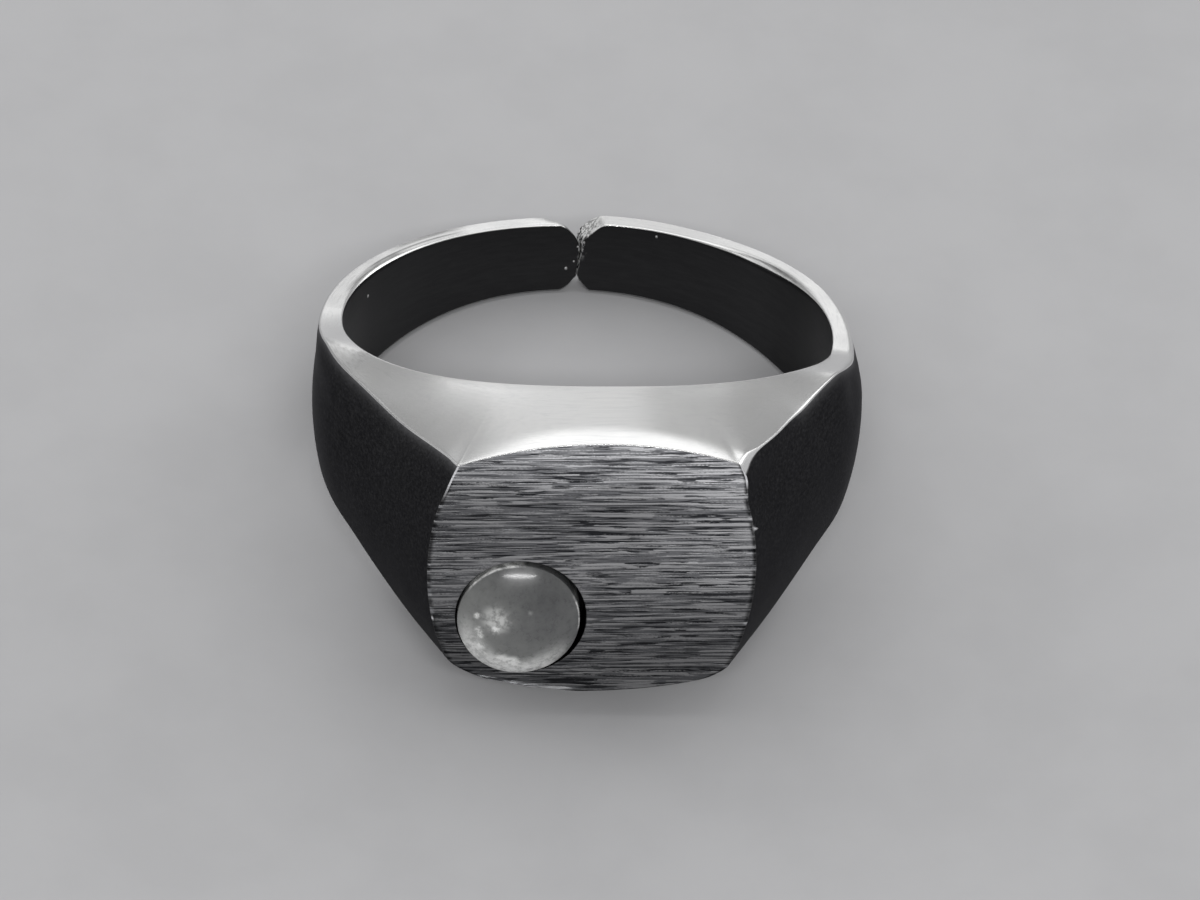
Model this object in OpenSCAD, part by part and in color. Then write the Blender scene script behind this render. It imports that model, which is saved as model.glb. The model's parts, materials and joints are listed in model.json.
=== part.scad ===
// Signet ring with a cushion face, an open back and one small opal cabochon.
// The ring is drawn upright about its finger hole and then laid on its side,
// as it lies on a table. In the upright drawing the hole's axis is Z, the
// face looks along -Y, and the split is at the back, on +Y. Millimetres.

/* [Finger hole] */
// Diameter of the finger hole
bore_d = 18.6; // [17:0.1:20]

/* [Band] */
// Thickness of the wall behind, half way up the band
wall = 0.9; // [0.7:0.05:1.3]
// Width of the band beside the finger
side_w = 4.96; // [4:0.1:6]
// Slope of each rim towards the back, in degrees
rim_slope = 6.1; // [3:0.1:7]

/* [Shoulders] */
// How much fuller the shoulders are than the wall behind
shoulder_extra = 0.3; // [0.1:0.05:0.5]
// How far in front of the hole's centre the shoulders swell from
shoulder_shift = 1; // [0.6:0.1:1.6]
// Where the rims start to rise to the head, in front of the hole's centre
rise_start = 1.6; // [1:0.1:2.5]
// Slope of that rise, in degrees
rise_slope = 24; // [20:0.5:30]

/* [Head] */
// Distance from the hole's centre to the face
face_distance = 13.1; // [12.4:0.1:14]
// Width of the face across its middle
face_w = 12.15; // [11:0.05:13]
// Height of the face at its middle
face_h = 11; // [10:0.1:12]
// Radius of the crowned top and bottom of the head
crown_r = 15; // [13:0.5:20]
// How fast each of them closes in towards the face, in degrees
crown_taper = 3.4; // [1:0.1:4]
// Size of the rounded edge along the face, drawn as a chamfer
face_edge = 0.25; // [0.15:0.05:0.35]
// How much the four corners of the face are cut back
corner_cut = 0.15; // [0.05:0.05:0.4]

/* [Split] */
// Width of the split at the back
split_w = 0.24; // [0.15:0.01:0.4]
// Radius of the rounded corners beside the split
split_corner_r = 0.85; // [0.5:0.05:1]

/* [Opal] */
// Diameter of the seat
seat_d = 4.86; // [4:0.02:5]
// Depth of the seat
seat_depth = 1.4; // [1:0.1:2]
// How far the seat lies to the left of the face's middle
seat_left = 2.58; // [1.8:0.02:2.6]
// How far the seat lies below the face's middle
seat_down = 2.2; // [1.2:0.1:2.2]
// Space round the stone in its seat
stone_gap = 0.1; // [0.06:0.01:0.15]
// How far the stone's edge lies below the face
stone_sunk = 0.3; // [0.1:0.05:0.5]
// Height of the stone's dome
dome_h = 1.15; // [0.8:0.05:1.5]

/* [Hidden] */
$fn = 180;

// Overlap that makes a cut run clean through, and the reach of the cutting
// blocks, which is past every surface of the ring
cut = 1;
reach = 20;

bore_r = bore_d / 2;
band_r = bore_r + wall;
shoulder_r = band_r + shoulder_extra;
rim_fall = tan(rim_slope);
rim_half = side_w / 2;
face_half = face_h / 2;

// The shoulders run from the swelling of the side to the edge of the face.
// Their turn from straight ahead is what makes each one touch both.
face_ahead = face_distance - shoulder_shift;
shoulder_turn = asin(shoulder_r / norm([face_ahead, face_w / 2])) - atan2(face_w / 2, face_ahead);

// Half the height of the head over the front of the finger hole
front_half = face_half + tan(crown_taper) * (face_distance - bore_r);

// Where the bottom rim ends behind: the point of the ball of radius band_r
// that lies on the rim's plane, z = rim_half - rim_fall * y
back_y = (rim_half * rim_fall + sqrt(band_r * band_r * (1 + rim_fall * rim_fall) - rim_half * rim_half))
    / (1 + rim_fall * rim_fall);
back_half = rim_half - rim_fall * back_y;

// At rest the ring touches the table there and under the front of the hole
rest_tilt = atan2(front_half - back_half, back_y + bore_r);
rest_lift = bore_r * -sin(rest_tilt) + front_half * cos(rest_tilt);

// Front and back of the lying ring, as distances along the table
stone_front = face_distance - stone_sunk + dome_h;
front_reach = max(
    face_distance * cos(rest_tilt) + (face_half - face_edge) * sin(rest_tilt),
    (face_distance - face_edge) * cos(rest_tilt) + face_half * sin(rest_tilt),
    stone_front * cos(rest_tilt) + seat_down * sin(rest_tilt)
);
back_reach = back_y * cos(rest_tilt) + back_half * sin(rest_tilt);
rest_shift = (front_reach - back_reach) / 2;

stone_r = seat_d / 2 - stone_gap;
dome_r = (stone_r * stone_r + dome_h * dome_h) / (2 * dome_h);

// Lays the upright drawing on its side, with its middle over the origin
module lay_down() {
    translate([0, rest_shift, rest_lift])
        rotate([-rest_tilt, 0, 0])
            children();
}

// Half of a long round bar that starts at the swelling of one side and runs
// forwards past the face, turned by the given angle
module shoulder_bar(turn) {
    translate([0, -shoulder_shift, 0])
        rotate([90, 0, turn])
            cylinder(r = shoulder_r, h = reach + bore_r);
}

// Outside of the ring seen from above: a ball round the hole, a second one
// for the swelling of the sides, and the two shoulders closing on the face
module outside() {
    sphere(r = band_r);
    translate([0, -shoulder_shift, 0])
        sphere(r = shoulder_r);
    intersection() {
        shoulder_bar(shoulder_turn);
        shoulder_bar(-shoulder_turn);
    }
}

// Side view of the band: a wedge that is narrowest behind, swept across
module rim_wedge() {
    back = reach;
    front = face_distance;
    rotate([90, 0, 90])
        linear_extrude(height = 2 * reach, center = true)
            polygon([
                [back, rim_half - rim_fall * back],
                [-front, rim_half + rim_fall * front],
                [-front, -rim_half - rim_fall * front],
                [back, -rim_half + rim_fall * back]
            ]);
}

// Side view of the rise from the rims to the head
module rise_wedge() {
    front = face_distance;
    start_half = rim_half + rim_fall * rise_start;
    front_rise = start_half + tan(rise_slope) * (front - rise_start);
    rotate([90, 0, 90])
        linear_extrude(height = 2 * reach, center = true)
            polygon([
                [-rise_start, start_half],
                [-front, front_rise],
                [-front, -front_rise],
                [-rise_start, -start_half]
            ]);
}

// Everything under one crowned surface that has the given height at the face
// and rises from there by the given angle
module crown_bar(height, angle) {
    translate([0, -face_distance, height])
        rotate([angle, 0, 0])
            translate([0, 0, -crown_r])
                rotate([90, 0, 0])
                    cylinder(r = crown_r, h = 3 * reach, center = true);
}

// The same for the top and the bottom of the head
module crown(height, angle) {
    intersection() {
        crown_bar(height, angle);
        mirror([0, 0, 1])
            crown_bar(height, angle);
    }
}

// Cone round the face that cuts its four corners back
module corner_cone() {
    corner_z = face_half - crown_r + sqrt(crown_r * crown_r - face_w * face_w / 4);
    corner_r = norm([face_w / 2, corner_z]) - shoulder_r
        + sqrt(shoulder_r * shoulder_r - corner_z * corner_z) - corner_cut;
    translate([0, -face_distance, 0])
        rotate([-90, 0, 0])
            cylinder(r1 = corner_r, r2 = corner_r + 2 * reach, h = 2 * reach);
}

// Rims, rise and head between them, as high as the ring is at each place
module height_limits() {
    intersection() {
        union() {
            rim_wedge();
            intersection() {
                rise_wedge();
                crown(face_half, crown_taper);
            }
        }
        crown(face_half - face_edge, 45);
        corner_cone();
    }
}

// Outline of the split seen from behind: a slot whose four mouths are rounded
module split_outline() {
    mouth = rim_half - rim_fall * bore_r - split_corner_r;
    half_w = split_w / 2 + split_corner_r;
    square([split_w, reach], center = true);
    for (side = [0, 1]) mirror([0, side])
        difference() {
            translate([-half_w, mouth])
                square([2 * half_w, split_corner_r + cut]);
            for (end = [-1, 1]) translate([end * half_w, mouth])
                circle(r = split_corner_r);
        }
}

// Split through the back of the band
module split() {
    rotate([90, 0, 180])
        linear_extrude(height = reach)
            split_outline();
}

// Seat of the stone, a blind hole in the face
module seat() {
    translate([-seat_left, seat_depth - face_distance, -seat_down])
        rotate([90, 0, 0])
            cylinder(d = seat_d, h = seat_depth + cut);
}

// Band, shoulders and head, cast as one piece of silver
module signet_band() {
    color("silver")
        lay_down()
            difference() {
                intersection() {
                    outside();
                    height_limits();
                }
                cylinder(d = bore_d, h = 2 * reach, center = true);
                split();
                seat();
            }
}

// Round stone with a straight edge and a low dome
module opal_cabochon() {
    edge_h = seat_depth - stone_gap - stone_sunk;
    color("lightgray")
        lay_down()
            translate([-seat_left, stone_sunk - face_distance, -seat_down])
                rotate([90, 0, 0]) {
                    translate([0, 0, -edge_h])
                        cylinder(r = stone_r, h = edge_h);
                    intersection() {
                        translate([0, 0, dome_h - dome_r])
                            sphere(r = dome_r);
                        cylinder(r = stone_r + cut, h = dome_h + cut);
                    }
                }
}

signet_band();
opal_cabochon();
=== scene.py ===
"""Looks of a silver signet ring with a cushion face and one small opal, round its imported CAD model.

The ring is worked out upright about its finger hole, in millimetres: the
hole's axis is z, the face looks along -y and the split is at the back, on +y.
RingPlace then lays it on its side, where the CAD model lies, in metres.
"""

import json
import logging
import math
from dataclasses import dataclass, field
from enum import Enum, IntEnum
from typing import Any

import bpy
import numpy as np
from mathutils import Matrix, Vector


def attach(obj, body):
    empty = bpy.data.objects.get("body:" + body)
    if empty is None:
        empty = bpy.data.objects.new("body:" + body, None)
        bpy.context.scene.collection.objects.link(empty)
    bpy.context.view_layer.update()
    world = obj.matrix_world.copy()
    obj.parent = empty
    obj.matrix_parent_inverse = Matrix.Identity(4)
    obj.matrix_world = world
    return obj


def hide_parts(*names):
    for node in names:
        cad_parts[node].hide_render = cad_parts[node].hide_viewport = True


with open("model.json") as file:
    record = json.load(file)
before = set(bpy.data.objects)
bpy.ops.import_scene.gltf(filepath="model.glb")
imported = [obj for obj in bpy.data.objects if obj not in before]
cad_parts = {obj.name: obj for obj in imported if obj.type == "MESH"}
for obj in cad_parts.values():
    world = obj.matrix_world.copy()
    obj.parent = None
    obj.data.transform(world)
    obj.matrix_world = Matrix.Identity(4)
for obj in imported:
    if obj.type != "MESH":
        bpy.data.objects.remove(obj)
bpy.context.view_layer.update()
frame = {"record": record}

MM = 0.001

log = logging.getLogger("opal_ring")

Colour = tuple[float, float, float]
Point = tuple[float, float, float]

# Bare spots on the finger hole's wall, the last four painted glints along the split: where each one is on
# the upright ring, and its size, in mm.
NICKS_AND_GLINTS: tuple[tuple[Point, float], ...] = (
    ((-8.27, 4.25, 1.08), 0.09),
    ((-0.51, 9.29, -0.47), 0.085),
    ((2.91, 8.83, 1.33), 0.07),
    ((0.18, 9.30, 1.28), 0.07),
    ((-0.05, 9.30, 0.91), 0.07),
    ((-0.09, 9.30, 0.51), 0.06),
    ((-0.22, 9.30, -0.15), 0.06),
)


@dataclass(frozen=True)
class RingPlace:
    """How the upright ring lies on the table.

    Attributes:
        tilt: Turn about x that lays the ring on its side, in radians.
        ahead: Where the middle of the finger hole lies along y, in mm.
        lift: Height of the middle of the finger hole over the table, in mm.
        bore_radius: Radius of the finger hole, in mm.
    """

    tilt: float
    ahead: float
    lift: float
    bore_radius: float

    @classmethod
    def from_record(cls, record: dict[str, Any]) -> "RingPlace":
        """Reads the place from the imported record's only mount, the finger hole.

        Args:
            record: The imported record.

        Returns:
            The place of the ring.
        """
        mount = record["mounts"][0]
        _, axis_y, axis_z = mount["axis"]
        _, ahead, lift = mount["pos_m"]
        return cls(
            tilt=math.atan2(axis_y, axis_z),
            ahead=ahead / MM,
            lift=lift / MM,
            bore_radius=mount["dims"]["r_mm"],
        )

    def turned(self, vectors: np.ndarray) -> np.ndarray:
        """Turns upright directions into the lying ring's: a turn about x by the tilt.

        Args:
            vectors: Directions or points, with x, y and z last.

        Returns:
            The turned ones, in the same unit.
        """
        cos, sin = math.cos(self.tilt), math.sin(self.tilt)
        x, y, z = vectors[..., 0], vectors[..., 1], vectors[..., 2]
        return np.stack([x, y * cos + z * sin, z * cos - y * sin], axis=-1)

    def laid_down(self, points: np.ndarray) -> np.ndarray:
        """Lays upright points in millimetres down on the table, in metres.

        Args:
            points: Points of the upright ring, with x, y and z last.

        Returns:
            The same points in the part's frame.
        """
        return (self.turned(points) + [0, self.ahead, self.lift]) * MM


def smooth_max(first: np.ndarray, second: np.ndarray | float, blend: float) -> np.ndarray:
    """The larger of two, with a soft bend where they cross.

    Half of the sum plus half the root of the squared difference and the
    squared blend.

    Args:
        first: One set of heights.
        second: The other.
        blend: About how high the soft bend is.

    Returns:
        The blended heights.
    """
    return (first + second + np.sqrt((first - second) ** 2 + blend**2)) / 2


def smooth_min(first: np.ndarray, second: np.ndarray | float, blend: float) -> np.ndarray:
    """The smaller of two, with a soft bend where they cross: smooth_max turned upside down.

    Args:
        first: One set of heights.
        second: The other.
        blend: About how high the soft bend is.

    Returns:
        The blended heights.
    """
    return -smooth_max(-first, -second, blend)


def smooth_step(low: float, high: float, value: np.ndarray) -> np.ndarray:
    """A soft step from 0 at low to 1 at high: 3t² - 2t³ of the share t of the way.

    Args:
        low: Where the step starts.
        high: Where it ends. It may be the lower one, for a step down.
        value: Where to read it.

    Returns:
        The height of the step, from 0 to 1.
    """
    share = np.clip((value - low) / (high - low), 0, 1)
    return share * share * (3 - 2 * share)


def plateau(value: np.ndarray, start: float, full: float, fading: float, end: float) -> np.ndarray:
    """A soft step up and a soft step down again: the product of the two.

    Args:
        value: Where to read it.
        start: Where it leaves 0.
        full: Where it reaches 1.
        fading: Where it leaves 1.
        end: Where it is back at 0.

    Returns:
        The height, from 0 to 1.
    """
    return smooth_step(start, full, value) * smooth_step(end, fading, value)


def bell(value: np.ndarray, middle: np.ndarray | float, width: float) -> np.ndarray:
    """A bell: e to minus the square of the distance from its middle over its width.

    Args:
        value: Where to read it.
        middle: Where it is 1.
        width: How far out it has fallen to 1/e.

    Returns:
        The height, from 0 to 1.
    """
    return np.exp(-(((value - middle) / width) ** 2))


def lattice_noise(across: np.ndarray, along: np.ndarray, seed: int) -> np.ndarray:
    """Smooth random heights from -1 to 1 over a plane.

    Each whole-number crossing has a random height, and 3t² - 2t³ joins them.

    Args:
        across: First coordinate, in cells.
        along: Second coordinate, in cells.
        seed: Which set of random heights.

    Returns:
        The heights.
    """
    cells = 128
    table = np.random.default_rng(seed).uniform(-1, 1, (cells, cells))
    cell_a, cell_b = np.floor(across).astype(int), np.floor(along).astype(int)
    step_a = smooth_step(0, 1, across - cell_a)
    step_b = smooth_step(0, 1, along - cell_b)

    def height(shift_a: int, shift_b: int) -> np.ndarray:
        """The random height of a neighbouring crossing."""
        return table[(cell_a + shift_a) % cells, (cell_b + shift_b) % cells]

    near = height(0, 0) * (1 - step_a) + height(1, 0) * step_a
    far = height(0, 1) * (1 - step_a) + height(1, 1) * step_a
    return near * (1 - step_b) + far * step_b


def bend(start: np.ndarray, corner: np.ndarray, end: np.ndarray, rows: int) -> np.ndarray:
    """Rows of points that round a corner off, without the two ends.

    Each is (1 - t)² of the start, 2t(1 - t) of the corner and t² of the end.

    Args:
        start: Points where the rounding starts, one for each station.
        corner: The sharp corner's points.
        end: Points where it ends.
        rows: How many points for each station.

    Returns:
        Points by station and row.
    """
    t = (np.arange(1, rows + 1) / (rows + 1))[None, :, None]
    return (1 - t) ** 2 * start[:, None] + 2 * t * (1 - t) * corner[:, None] + t**2 * end[:, None]


class MeshDraft:
    """Collects points, their values and faces in blocks, and writes them into one mesh."""

    def __init__(self, place: RingPlace) -> None:
        """Starts an empty draft.

        Args:
            place: How the ring lies.
        """
        self.place = place
        self.count = 0
        self.points: list[np.ndarray] = []
        self.values: list[dict[str, np.ndarray]] = []
        self.corners: list[np.ndarray] = []
        self.sizes: list[np.ndarray] = []
        self.slots: list[np.ndarray] = []

    def add_points(self, points: np.ndarray, **values: np.ndarray | float) -> np.ndarray:
        """Adds a block of upright points in millimetres.

        Args:
            points: The points, with x, y and z last.
            values: A number for each point or one for all, by the attribute's name. What
                isn't given is 0.

        Returns:
            The points' numbers, in the block's own layout.
        """
        shape = points.shape[:-1]
        number = math.prod(shape)
        self.points.append(points.reshape(-1, 3))
        spread = {name: np.broadcast_to(value, shape).reshape(-1) for name, value in values.items()}
        self.values.append(spread)
        index = np.arange(self.count, self.count + number).reshape(shape)
        self.count += number
        return index

    def add_faces(self, corners: np.ndarray, slots: np.ndarray | int) -> None:
        """Adds faces that all have the same number of corners.

        Args:
            corners: Point numbers, one row for each face.
            slots: The material slot of each face, or one for all.
        """
        number, size = corners.shape
        self.corners.append(corners.reshape(-1))
        self.sizes.append(np.full(number, size))
        self.slots.append(np.broadcast_to(slots, number))

    def add_grid(
        self,
        index: np.ndarray,
        slots: np.ndarray | int,
        round_first: bool = False,
        round_second: bool = False,
        keep: np.ndarray | None = None,
    ) -> None:
        """Adds the squares between neighbours in a table of point numbers.

        Args:
            index: Point numbers by two directions. The outside is on the left of the first
                direction's turn into the second.
            slots: The material slot of each square, or one for all.
            round_first: Whether the first direction closes on itself.
            round_second: Whether the second does.
            keep: Which squares to add, or None for all.
        """
        if round_first:
            index = np.concatenate([index, index[:1]], axis=0)
        if round_second:
            index = np.concatenate([index, index[:, :1]], axis=1)
        squares = np.stack([index[:-1, :-1], index[:-1, 1:], index[1:, 1:], index[1:, :-1]], axis=-1)
        slots = np.broadcast_to(slots, squares.shape[:2])
        chosen = np.ones(slots.shape, bool) if keep is None else keep
        self.add_faces(squares[chosen], slots[chosen])

    def add_fan(self, ring: np.ndarray, centre: int, slot: int, closing: bool) -> None:
        """Closes a ring of points with triangles to one point.

        Args:
            ring: Point numbers round the hole.
            centre: Number of the point in the middle.
            slot: The material slot.
            closing: Which way the ring turns: True where the fan ends a grid's first
                direction or starts its second one.
        """
        after = np.roll(ring, -1)
        middle = np.full_like(ring, centre)
        order = [ring, after, middle] if closing else [after, ring, middle]
        self.add_faces(np.stack(order, axis=-1), slot)

    def make(self, name: str, materials: list[bpy.types.Material]) -> bpy.types.Object:
        """Writes everything into a new, smooth-shaded object.

        Args:
            name: The object's name.
            materials: Its material slots in order.

        Returns:
            The object, which stands at the origin.
        """
        mesh = bpy.data.meshes.new(name)
        corners, sizes = np.concatenate(self.corners), np.concatenate(self.sizes)
        points = self.place.laid_down(np.concatenate(self.points))
        mesh.vertices.add(len(points))
        mesh.vertices.foreach_set("co", points.astype(np.float32).ravel())
        mesh.loops.add(len(corners))
        mesh.loops.foreach_set("vertex_index", corners.astype(np.int32))
        mesh.polygons.add(len(sizes))
        starts = np.concatenate([[0], np.cumsum(sizes)[:-1]])
        mesh.polygons.foreach_set("loop_start", starts.astype(np.int32))
        mesh.polygons.foreach_set("loop_total", sizes.astype(np.int32))
        mesh.polygons.foreach_set("material_index", np.concatenate(self.slots).astype(np.int32))
        blanks = [np.zeros(block.size // 3) for block in self.points]
        for key in sorted(set().union(*self.values)):
            attribute = mesh.attributes.new(key, "FLOAT", "POINT")
            blocks = [given.get(key, blank) for given, blank in zip(self.values, blanks)]
            attribute.data.foreach_set("value", np.concatenate(blocks).astype(np.float32))
        mesh.update(calc_edges=True)
        mesh.validate()
        mesh.shade_smooth()
        for material in materials:
            mesh.materials.append(material)
        made = bpy.data.objects.new(name, mesh)
        bpy.context.scene.collection.objects.link(made)
        log.info("%s: %d points, %d faces", name, len(points), len(sizes))
        return made


class Term:
    """A number in a material's nodes that Python sums can be written with."""

    def __init__(self, board: "NodeBoard", socket: bpy.types.NodeSocket) -> None:
        """Wraps one output socket of board."""
        self.board = board
        self.socket = socket

    def _math(self, operation: str, first: "Term | float", second: "Term | float") -> "Term":
        """Adds a Math node on two values."""
        node = self.board.add("ShaderNodeMath", {"operation": operation}, {0: first, 1: second})
        return Term(self.board, node.outputs[0])

    def __add__(self, other: "Term | float") -> "Term":
        """The sum."""
        return self._math("ADD", self, other)

    def __sub__(self, other: "Term | float") -> "Term":
        """The difference."""
        return self._math("SUBTRACT", self, other)

    def __rsub__(self, other: float) -> "Term":
        """The difference the other way round."""
        return self._math("SUBTRACT", other, self)

    def __mul__(self, other: "Term | float") -> "Term":
        """The product."""
        return self._math("MULTIPLY", self, other)

    __radd__ = __add__
    __rmul__ = __mul__

    def heading(self, ahead: "Term") -> "Term":
        """The angle whose sideways part is this term and whose part straight ahead is the other."""
        return self._math("ARCTAN2", self, ahead)

    def step(self, low: float, high: float, to_low: float = 0.0, to_high: float = 1.0) -> "Term":
        """A soft step between two values of this term.

        Args:
            low: Where the step starts.
            high: Where it ends.
            to_low: Result at the start.
            to_high: Result at the end.

        Returns:
            The stepped term.
        """
        node = self.board.add(
            "ShaderNodeMapRange",
            {"interpolation_type": "SMOOTHSTEP"},
            {"Value": self, "From Min": low, "From Max": high, "To Min": to_low, "To Max": to_high},
        )
        return Term(self.board, node.outputs[0])


class NodeBoard:
    """A material's nodes, added in one way: type, settings, then sockets."""

    # Radius at which round_point counts an angle as a length, in mm.
    ROUND_RADIUS = 10

    def __init__(self, name: str) -> None:
        """Starts a material with no nodes.

        Args:
            name: The material's name.
        """
        self.material = bpy.data.materials.new(name)
        self.material.use_nodes = True
        self.tree = self.material.node_tree
        self.tree.nodes.clear()

    def add(
        self,
        kind: str,
        settings: dict[str, Any] | None = None,
        sockets: dict[int | str, Any] | None = None,
    ) -> bpy.types.Node:
        """Adds one node.

        Args:
            kind: The node's type.
            settings: Its settings by name, which are set first.
            sockets: Values or links by input socket.

        Returns:
            The node.
        """
        node = self.tree.nodes.new(kind)
        for name, value in (settings or {}).items():
            setattr(node, name, value)
        for name, value in (sockets or {}).items():
            source = value.socket if isinstance(value, Term) else value
            if isinstance(source, bpy.types.NodeSocket):
                self.tree.links.new(source, node.inputs[name])
            else:
                node.inputs[name].default_value = source
        return node

    def ring_point(
        self, place: RingPlace, stretch: Point = (1, 1, 1), turn: float = 0.0
    ) -> bpy.types.NodeSocket:
        """The upright ring's own coordinates in millimetres, for patterns.

        Args:
            place: How the ring lies.
            stretch: Size of the pattern's unit along x, y and z, in mm.
            turn: Turn of the pattern in the face, in radians.

        Returns:
            The vector socket.
        """
        objects = self.add("ShaderNodeTexCoord").outputs["Object"]
        upright = self.add(
            "ShaderNodeMapping",
            {"vector_type": "TEXTURE"},
            {
                "Vector": objects,
                "Location": (0, place.ahead * MM, place.lift * MM),
                "Rotation": (-place.tilt, 0, 0),
                "Scale": (MM, MM, MM),
            },
        ).outputs[0]
        return self.add(
            "ShaderNodeMapping",
            {"vector_type": "TEXTURE"},
            {"Vector": upright, "Rotation": (0, turn, 0), "Scale": stretch},
        ).outputs[0]

    def round_point(self, place: RingPlace, along: float, across: float) -> bpy.types.NodeSocket:
        """Coordinates that run round the ring, for marks that follow it.

        The first is the angle from straight ahead times 10 mm, the second
        the distance from the hole's axis and the third the height.

        Args:
            place: How the ring lies.
            along: Size of the pattern's unit round the ring, in mm.
            across: The same outwards and upwards.

        Returns:
            The vector socket.
        """
        upright = self.ring_point(place)
        parts = self.add("ShaderNodeSeparateXYZ", {}, {0: upright}).outputs
        sideways, ahead, height = (Term(self, part) for part in parts)
        flat = self.add("ShaderNodeVectorMath", {"operation": "MULTIPLY"}, {0: upright, 1: (1, 1, 0)})
        length = self.add("ShaderNodeVectorMath", {"operation": "LENGTH"}, {0: flat.outputs[0]})
        away = Term(self, length.outputs["Value"])
        turned = sideways.heading(ahead * -1.0) * (self.ROUND_RADIUS / along)
        sockets = {0: turned, 1: away * (1 / across), 2: height * (1 / across)}
        return self.add("ShaderNodeCombineXYZ", {}, sockets).outputs[0]

    def noise(
        self, vector: bpy.types.NodeSocket, scale: float, detail: float = 2.0, rough: float = 0.5
    ) -> Term:
        """Noise from 0 to 1 over a vector.

        Args:
            vector: Where to read it.
            scale: Waves for each unit.
            detail: Number of finer layers.
            rough: Strength of the finer layers.

        Returns:
            The noise.
        """
        sockets = {"Vector": vector, "Scale": scale, "Detail": detail, "Roughness": rough}
        return Term(self, self.add("ShaderNodeTexNoise", {}, sockets).outputs[0])

    def spot(self, place: RingPlace, centre: Point, size: float) -> Term:
        """A soft round spot: 1 near its centre and 0 from its size outwards.

        Args:
            place: How the ring lies.
            centre: Its centre on the upright ring, in mm.
            size: Its radius, in mm.

        Returns:
            The spot, from 0 to 1.
        """
        sockets = {0: self.ring_point(place), 1: centre}
        away = self.add("ShaderNodeVectorMath", {"operation": "DISTANCE"}, sockets)
        return Term(self, away.outputs["Value"]).step(size, size * 0.3)

    def crumbs(self, place: RingPlace) -> Term:
        """Torn bits of metal beside the split, where the mesh asks for them, painted as shiny glints."""
        torn = self.noise(self.ring_point(place, (0.13, 0.13, 0.19)), 1.0, detail=2)
        return torn.step(0.47, 0.55) * self.attribute("crumbs")

    def attribute(self, name: str) -> Term:
        """A number that the mesh keeps for each point."""
        return Term(self, self.add("ShaderNodeAttribute", {"attribute_name": name}).outputs["Fac"])

    def mix(self, share: "Term | float", first: Any, second: Any) -> bpy.types.NodeSocket:
        """Mixes two colours.

        Args:
            share: How much of the second, from 0 to 1.
            first: A colour or a colour socket.
            second: The other.

        Returns:
            The mixed colour's socket.
        """
        colours = [(*c, 1) if isinstance(c, tuple) else c for c in (first, second)]
        node = self.add("ShaderNodeMix", {"data_type": "RGBA"}, {0: share, 6: colours[0], 7: colours[1]})
        return node.outputs[2]

    def bump(self, height: Term, strength: float, depth: float) -> bpy.types.NodeSocket:
        """A bumped normal.

        Args:
            height: The height that bumps it.
            strength: How much of the bump shows.
            depth: How deep a height of 1 is, in metres.

        Returns:
            The normal's socket.
        """
        sockets = {"Height": height, "Strength": strength, "Distance": depth}
        return self.add("ShaderNodeBump", {}, sockets).outputs[0]

    def finish(self, **sockets: Any) -> bpy.types.Material:
        """Adds the shader and the output.

        Args:
            sockets: The shader's inputs, with _ for a space in their names.

        Returns:
            The finished material.
        """
        named = {name.replace("_", " "): value for name, value in sockets.items()}
        shader = self.add("ShaderNodeBsdfPrincipled", {}, named)
        self.add("ShaderNodeOutputMaterial", {}, {"Surface": shader.outputs[0]})
        return self.material


@dataclass(frozen=True)
class PolishedSilver:
    """Rims and top of the head: a soft polish with faint clouds, and hairlines that run round, under the
    painted light and shade of the mesh's tone, with painted glints beside the split.
    """

    bright: Colour = (0.87, 0.87, 0.865)
    dull: Colour = (0.74, 0.745, 0.75)
    shade: Colour = (0.02, 0.02, 0.021)

    def make(self, place: RingPlace) -> bpy.types.Material:
        """Makes the material.

        Args:
            place: How the ring lies.

        Returns:
            The material.
        """
        board = NodeBoard("polished_silver")
        clouds = board.noise(board.ring_point(place), 0.6, detail=3).step(0.35, 0.7)
        hairs = board.noise(board.round_point(place, 2.6, 0.06), 1.0, detail=3, rough=0.6)
        silver = board.mix(clouds * 0.3 + hairs.step(0.48, 0.72) * 0.55, self.bright, self.dull)
        tone = board.attribute("tone")
        crumbs = board.crumbs(place)
        # The mesh's tone is painted light and shade; hairlines show most where it is half way between the
        # two.
        worn = tone + (hairs - 0.5) * tone * (1.0 - tone) * 1.5
        torn = board.attribute("crumbs")
        # Beside the split the torn metal is painted darker, with painted glints scattered over it.
        lit = worn.step(0.0, 1.0) - torn * 0.7 + crumbs * 1.9
        return board.finish(
            Base_Color=board.mix(lit.step(-0.1, 1.0), self.shade, silver),
            Metallic=1.0,
            Roughness=0.19 + clouds * 0.04 + hairs * 0.06 + torn * 0.35,
            Normal=board.bump(hairs * 0.25 + crumbs * 3.0, 0.6, 6e-6),
        )


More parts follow.
